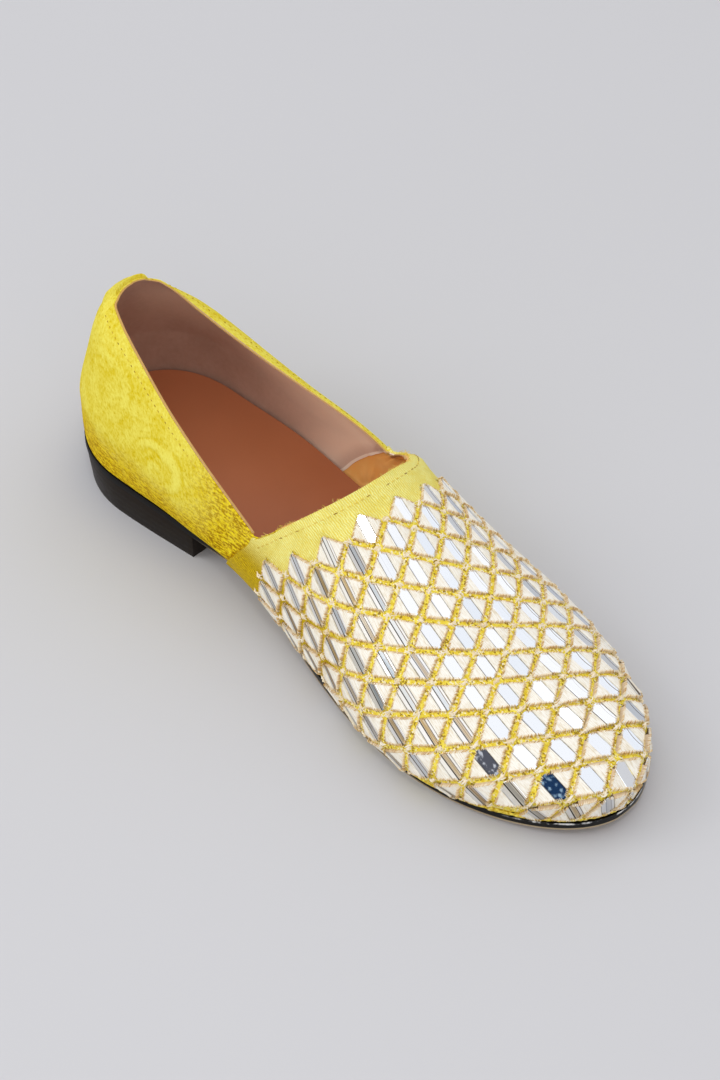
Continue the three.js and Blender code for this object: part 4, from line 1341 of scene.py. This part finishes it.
def edge_stitch(reach, forward, height):
    """One point of every overcast stitch: how far out over the pad's edge, how far forward and how high."""
    points = pad_spot(edge_across * reach, edge_down * reach + forward, np.full_like(edge_down, height))
    points += flank_slope(edge_across * min(reach, 1))[..., None] * pad_up[:, None, :]
    return points.reshape(-1, 3)


overcast = thread_mesh(
    "overcast_thread", edge_stitch(0.86, 0.0, 0.02), edge_stitch(0.97, 0.02, 0.1),
    edge_stitch(1.06, 0.04, -0.85), np.repeat(pad_up, len(edge_down), axis=0), THREAD_RADIUS,
    rng.random(pad_count * len(edge_down)) * 0.9)

tan_thread = Finish("tan_thread", Roughness=0.6, Specular_IOR_Level=0.3)
tan_thread.feed(Base_Color=tan_thread.node("ValToRGB", {"stops": [
    (0.0, paint(196, 148, 62)), (0.3, paint(228, 192, 126)), (0.65, paint(246, 228, 190)),
    (1.0, paint(254, 248, 232))]}, {"Fac": tan_thread.mark("thread", "Fac")}))
tan_thread.wear(overcast)
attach(overcast, "root")

net_rows, net_places = np.mgrid[-2:LAST_ROW + 2, -WIDEST_PLACE - 1:WIDEST_PLACE + 2]
odd = (net_rows + net_places) % 2 != 0
pad_set = {(int(r), int(p)) for r, p in zip(pad_rows, pad_places)}
knots = np.array([
    (r, p) for r, p in zip(net_rows[odd], net_places[odd])
    if sum((r + i, p + j) in pad_set for i, j in ((-1, 0), (1, 0), (0, -1), (0, 1))) >= 2], float)
THREADS_PER_KNOT = 9
KNOT_THREAD_RADIUS = 0.24
KNOT_SCATTER = 0.06
KNOT_REACH = 0.13
knot_row, knot_place = (
    np.repeat(middle, THREADS_PER_KNOT) + rng.normal(0, KNOT_SCATTER, len(knots) * THREADS_PER_KNOT)
    for middle in knots.T)
heading = rng.uniform(0, 2 * np.pi, len(knot_row))
reach_row, reach_place = KNOT_REACH * np.cos(heading), KNOT_REACH * np.sin(heading)
knot_start = net_point(knot_row - reach_row, knot_place - reach_place, VAMP_STEP + NET_LIFT)
knot_end = net_point(knot_row + reach_row, knot_place + reach_place, VAMP_STEP + NET_LIFT)
knot_lift = rng.uniform(0.9, 1.4, len(knot_row))
knot_middle = net_point(knot_row, knot_place, VAMP_STEP + knot_lift)
knot_normal = unit(knot_middle - net_point(knot_row, knot_place, VAMP_STEP))
knot_tone = 0.55 + 0.45 * rng.random(len(knot_row))
knot_threads = thread_mesh(
    "cream_knots", knot_start, knot_middle, knot_end, knot_normal, KNOT_THREAD_RADIUS, knot_tone)
tan_thread.wear(knot_threads)
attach(knot_threads, "root")


# Sewing along the opening: a row of small sunk stitches under the collar, a longer row along the throat,
# and a few loose fibres where the satin is cut. All three are the same yellow-brown thread.
COLLAR_STITCH_DROP = 3.0
COLLAR_STITCH_PITCH = 2.3
THROAT_STITCH_DROP = 4.2
THROAT_STITCH_PITCH = 2.5
COLLAR_STITCH_HALF = 0.45
THROAT_STITCH_HALF = 0.75
COLLAR_THREAD_RADIUS = 0.17
THROAT_THREAD_RADIUS = 0.2
COLLAR_STITCH_END = 107.0
THROAT_STITCH_START = 112.0
STRAP_CLEAR_MEDIAL = -0.42
STRAP_CLEAR_LATERAL = 0.3
FIBRES = 170
FIBRE_RADIUS = 0.06
FIBRE_PITCH = 0.5


def evenly(turns, surface, pitch):
    """Points, directions and normals at an even pitch along a line on the upper."""
    points = surface(turns, 0.0)
    lengths = np.concatenate([[0], np.cumsum(np.linalg.norm(np.diff(points, axis=0), axis=1))])
    picked = np.interp(np.arange(pitch / 2, lengths[-1], pitch), lengths, turns)
    here = surface(picked, 0.0)
    along = unit(surface(picked + 0.002, 0.0) - here)
    normal = unit(np.cross(along, surface(picked, 0.02) - here))
    return here, along, normal * np.sign(normal[:, 2:3] + 1e-9)


def collar_line(turns, higher):
    top = top_rise(turns, 0.0, tab_lift(turns))
    return tucked_point(turns, top_rise(turns, 0.0, -COLLAR_STITCH_DROP) + higher, top, 0.0)


def throat_line(turns, higher):
    return vamp_point(turns, top_rise(turns, VAMP_STEP, -THROAT_STITCH_DROP) + higher)


def throat_edge(turns, higher):
    return vamp_point(turns, top_rise(turns, VAMP_STEP) + higher)


collar_end = float(turn_of(COLLAR_STITCH_END))
collar_rows = [
    evenly(np.linspace(-collar_end, STRAP_CLEAR_MEDIAL, 300), collar_line, COLLAR_STITCH_PITCH),
    evenly(np.linspace(STRAP_CLEAR_LATERAL, collar_end, 300), collar_line, COLLAR_STITCH_PITCH)]
throat_row_end = min(
    np.linspace(130, 150, 20001), key=lambda x: abs(over_throat(x) + THROAT_STITCH_DROP))
throat_end_turn = float(turn_of(throat_row_end))
towards_spine = np.linspace(1, 0, 900) ** 4
edge_end_turn = float(turn_of(throat_meets_spine - 0.05))
throat_start_turn = float(turn_of(THROAT_STITCH_START))
throat_turns = throat_end_turn + (throat_start_turn - throat_end_turn) * towards_spine
throat_rows = [evenly(side * throat_turns, throat_line, THROAT_STITCH_PITCH) for side in (-1, 1)]
spots, ways, normals = (np.concatenate(items) for items in zip(*collar_rows))
collar_stitches = thread_mesh(
    "collar_stitches", spots - ways * COLLAR_STITCH_HALF, spots + normals * 0.05,
    spots + ways * COLLAR_STITCH_HALF, normals, COLLAR_THREAD_RADIUS, 0.15 + 0.3 * rng.random(len(spots)))
spots, ways, normals = (np.concatenate(items) for items in zip(*throat_rows))
sway = rng.normal(0, 0.12, (len(spots), 1)) * np.cross(normals, ways)
throat_stitches = thread_mesh(
    "throat_stitches", spots - ways * THROAT_STITCH_HALF + sway, spots + normals * 0.12,
    spots + ways * THROAT_STITCH_HALF, normals, THROAT_THREAD_RADIUS,
    np.where(rng.random(len(spots)) < 0.35, 0.16, 0.5) + 0.25 * rng.random(len(spots)))
edge_rows = [
    evenly(np.linspace(-edge_end_turn, -throat_start_turn, 400), throat_edge, FIBRE_PITCH),
    evenly(np.linspace(throat_start_turn, edge_end_turn, 400), throat_edge, FIBRE_PITCH)]
spots, ways, normals = (np.concatenate(items) for items in zip(*edge_rows))
chosen = rng.integers(0, len(spots), FIBRES)
roots = spots[chosen] - normals[chosen] * 0.3
tips = roots + rng.normal(0, 0.55, (FIBRES, 3)) + normals[chosen] * rng.uniform(0.2, 0.9, (FIBRES, 1))
fibres = thread_mesh(
    "loose_fibres", roots, (roots + tips) / 2 + rng.normal(0, 0.15, (FIBRES, 3)), tips, ways[chosen],
    FIBRE_RADIUS, 0.5 + 0.5 * rng.random(FIBRES))

sewing = Finish("sewing_thread", Roughness=0.65, Specular_IOR_Level=0.25)
sewing.feed(Base_Color=sewing.node("ValToRGB", {"stops": [
    (0.0, paint(104, 74, 14)), (0.25, paint(168, 128, 24)), (0.5, paint(222, 190, 60)),
    (1.0, paint(250, 234, 130))]}, {"Fac": sewing.mark("thread", "Fac")}))
sewing.wear(collar_stitches, throat_stitches, fibres)
for piece in (collar_stitches, throat_stitches, fibres):
    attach(piece, "root")


# Lower border: the turned edge of the satin, lasted under with the vamp. It shows round the toe as an uneven
# yellow roll between the diamonds and the sole.
BORDER_FROM = 186.0
BORDER_COLUMNS = 300
BORDER_ROWS = 8
BORDER_RISE = math.radians(-59)
BORDER_RADIUS = 0.6
BORDER_OUT = VAMP_STEP + 0.75
border_start = float(turn_of(BORDER_FROM))
border_turns = np.linspace(border_start, 2 * np.pi - border_start, BORDER_COLUMNS + 1)
border_share = np.linspace(0, 1, BORDER_COLUMNS + 1)
border_waves = sum(
    size * np.sin(2 * np.pi * count * border_share + start)
    for count, size, start in ((37, 0.2, 0.3), (61, 0.16, 1.9), (23, 0.16, 4.1), (83, 0.12, 2.2)))
border_taper = np.clip(np.minimum(border_share, 1 - border_share) / 0.12, 0.05, 1) ** 0.5


def place_border(column, row):
    turn = (border_turns[column] + np.pi) % (2 * np.pi) - np.pi
    angle = 2 * np.pi * row / BORDER_ROWS
    radius = (BORDER_RADIUS + border_waves[column] * 0.65) * border_taper[column]
    middle = last_point(turn, BORDER_RISE, BORDER_OUT)
    outer = unit(last_point(turn, BORDER_RISE, BORDER_OUT + 1) - middle)
    upward = np.array([0.0, 0.0, 1.0])
    return (middle + outer * (radius * np.cos(angle))[:, None]
            + upward * (radius * 1.3 * np.sin(angle) + border_waves[column] * 0.5)[:, None])


border = grid_piece("lower_border", BORDER_COLUMNS, BORDER_ROWS, place_border)
merge_poles(border)
bpy.ops.object.mode_set(mode="EDIT")
bpy.ops.mesh.select_all(action="SELECT")
bpy.ops.mesh.fill_holes(sides=BORDER_ROWS)
bpy.ops.object.mode_set(mode="OBJECT")
face_outward(border)
finish_mesh(border, [], 60)

turned_satin = Finish("turned_satin", Roughness=0.65, Specular_IOR_Level=0.25)
turned_noise = turned_satin.noise(turned_satin.spot(), 900.0, 3.0)
turned_fleck = turned_satin.between(turned_satin.noise(turned_satin.spot(), 420.0, 2.0), 0.6, 0.68)
turned_tone = turned_satin.between(turned_noise, 0.35, 0.65)
turned = turned_satin.blend(turned_tone, paint(196, 156, 20), paint(248, 230, 96))
turned_satin.feed(Base_Color=turned_satin.blend(turned_fleck * 0.7, turned, paint(246, 234, 196)))
turned_satin.bump(turned_noise, 0.0006, 0.9)
turned_satin.wear(border)
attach(border, "root")


# Heel strap: a strip of the same velvet sewn over the back seam of the quarters, from just above the sole
# upward. Its top is folded over to the inside and stands a little above the collar.
TAB_TOP_HALF = 7.2
TAB_FOOT_HALF = 6.0
TAB_TOP_Y = -3.4
TAB_FOOT_Y = -1.5
TAB_THICKNESS = 1.7
TAB_BODY = 0.35
TAB_ABOVE = 0.7
TAB_COLUMNS = 24
TAB_FACE_ROWS = 40
TAB_FOLD_ROWS = 8
TAB_BACK_ROWS = 2
TAB_FOOT_RISE = 0.9 * LOWEST
TAB_REACH = 0.9
TAB_FOLD_FROM = 0.84
TAB_FOLD_BLEND = 0.14
TAB_BACK_STEP = 0.03
TAB_SINK = 0.2


def tab_point(across, along, grow):
    """A point of the strap, from its foot at 0 to its top edge at 1."""
    wanted = TAB_FOOT_Y + (TAB_TOP_Y - TAB_FOOT_Y) * along
    wanted = wanted + (TAB_FOOT_HALF + (TAB_TOP_HALF - TAB_FOOT_HALF) * along) * across

    def point(turn):
        rise = TAB_FOOT_RISE + (top_rise(turn, 0.0, TAB_ABOVE) - TAB_FOOT_RISE) * along
        return tucked_point(turn, rise, top_rise(turn, 0.0, TAB_RAISE), grow)

    low, high = halved(
        np.full_like(wanted, -TAB_REACH), np.full_like(wanted, TAB_REACH), 30,
        lambda turn: point(turn)[:, 1] < wanted)
    return point((low + high) / 2)


def place_tab(column, row):
    across = 1 - 2 * column / TAB_COLUMNS
    behind = np.maximum(row - TAB_FACE_ROWS - TAB_FOLD_ROWS, 0)
    along = np.minimum(row / TAB_FACE_ROWS, 1) - TAB_BACK_STEP * behind
    around = np.clip((row - TAB_FACE_ROWS) / TAB_FOLD_ROWS, 0, 1) * np.pi
    folded = np.clip((along - TAB_FOLD_FROM) / TAB_FOLD_BLEND, 0, 1)
    thick = TAB_BODY + (TAB_THICKNESS - TAB_BODY) * folded ** 2 * (3 - 2 * folded)
    thick = thick * (1 - np.abs(across) ** 14)
    point = tab_point(across, along, thick * (1 + np.cos(around)) / 2 - TAB_SINK)
    point[:, 2] += thick * 0.5 * np.sin(around)
    return point


heel_tab = grid_piece("heel_strap", TAB_COLUMNS, TAB_FACE_ROWS + TAB_FOLD_ROWS + TAB_BACK_ROWS, place_tab)
add_mark(heel_tab, "height", over_feather(piece_points(heel_tab)))
finish_mesh(heel_tab, [], 60)
velvet.wear(heel_tab)
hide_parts("heel_tab")
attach(heel_tab, "root")


# Floor and light: a seamless sheet of pale paper under the shoe, lit by soft boxes overhead and at the left,
# a fill at the front and a small lamp for glints. Pale panels and a pale room stand round it.
bpy.ops.object.select_all(action="DESELECT")
bpy.ops.mesh.primitive_plane_add(size=12)
floor = bpy.context.object
floor.name = "studio_floor"
paper = Finish("floor_paper", Roughness=0.75, Specular_IOR_Level=0.2)
paper_cloud = paper.noise(paper.spot(), 2.0, 2.0)
paper.feed(Base_Color=paper.blend(paper_cloud, paint(201, 201, 203), paint(205, 205, 208)))
paper.wear(floor)

AREA_LIGHTS = (
    ("overhead_softbox", (-0.2, 0.1, 1.9), (0, 0, 0), 2.1, 5.2),
    ("left_softbox", (-1.1, -1.25, 1.25), (0, 0, 0.03), 1.1, 8.8),
    ("back_panel", (0.05, 1.5, 1.25), (0.05, 0, 0.1), 1.7, 3.3),
    ("inner_panel", (-0.1, -1.6, 1.0), (0, 0, 0.03), 1.3, 1.9),
    ("front_fill", (1.3, -1.2, 1.0), (0.05, 0, 0), 1.5, 5.5),
    ("glint_lamp", (0.55, -0.5, 1.5), (0.1, 0, 0), 0.15, 1.6),
)
for name, place, target, size, power in AREA_LIGHTS:
    lamp = bpy.data.lights.new(name, "AREA")
    lamp.shape = "SQUARE"
    lamp.size = size
    lamp.energy = power
    holder = bpy.data.objects.new(name, lamp)
    holder.location = place
    holder.rotation_euler = (Vector(target) - Vector(place)).to_track_quat("-Z", "Y").to_euler()
    bpy.context.scene.collection.objects.link(holder)



class Room(Finish):
    """The pale room round the floor, with the same nodes on a world's background."""

    def __init__(self, name, strength):
        world = bpy.data.worlds.new(name)
        world.use_nodes = True
        bpy.context.scene.world = world
        self.tree = world.node_tree
        self.shader = self.tree.nodes["Background"]
        self.shader.inputs["Strength"].default_value = strength


room_light = Room("studio", 0.69)
looking = room_light.node("TexCoord", output="Generated")
dome = room_light.node("ValToRGB", {"stops": [
    (0.0, (0.84, 0.84, 0.86, 1.0)), (0.55, (1.0, 1.0, 1.03, 1.0))]}, {"Fac": room_light.parts(looking)[2]})
dark_side = room_light.node("VectorMath", {"operation": "DOT_PRODUCT"}, {
    0: looking, 1: (-0.25, -0.9, -0.75)}, "Value")
room_light.feed(Color=room_light.blend(
    room_light.between(dark_side, 0.25, 0.5), dome, (0.88, 0.86, 0.82, 1.0)))
bpy.context.scene.view_settings.view_transform = "Standard"


# Camera: a long lens at the inner front side, looking down at the shoe as the photo does. Its angles,
# distance and lens come from fitting the outlines of the last to the picture.
AZIMUTH = math.radians(46.088)
ELEVATION = math.radians(46.375)
DISTANCE = 0.97788
FOCAL_PIXELS = 2848.81
PICTURE_HEIGHT = 1080
SENSOR = 36
AIM = Vector((-0.007066, 0.010773, 0.02))
camera_data = bpy.data.cameras.new("camera")
camera_data.lens = FOCAL_PIXELS * SENSOR / PICTURE_HEIGHT
camera = bpy.data.objects.new("camera", camera_data)
away = Vector((
    math.sin(AZIMUTH) * math.cos(ELEVATION), -math.cos(AZIMUTH) * math.cos(ELEVATION), math.sin(ELEVATION)))
camera.location = AIM + away * DISTANCE
camera.rotation_euler = away.to_track_quat("Z", "Y").to_euler()
bpy.context.scene.collection.objects.link(camera)
bpy.context.scene.camera = camera
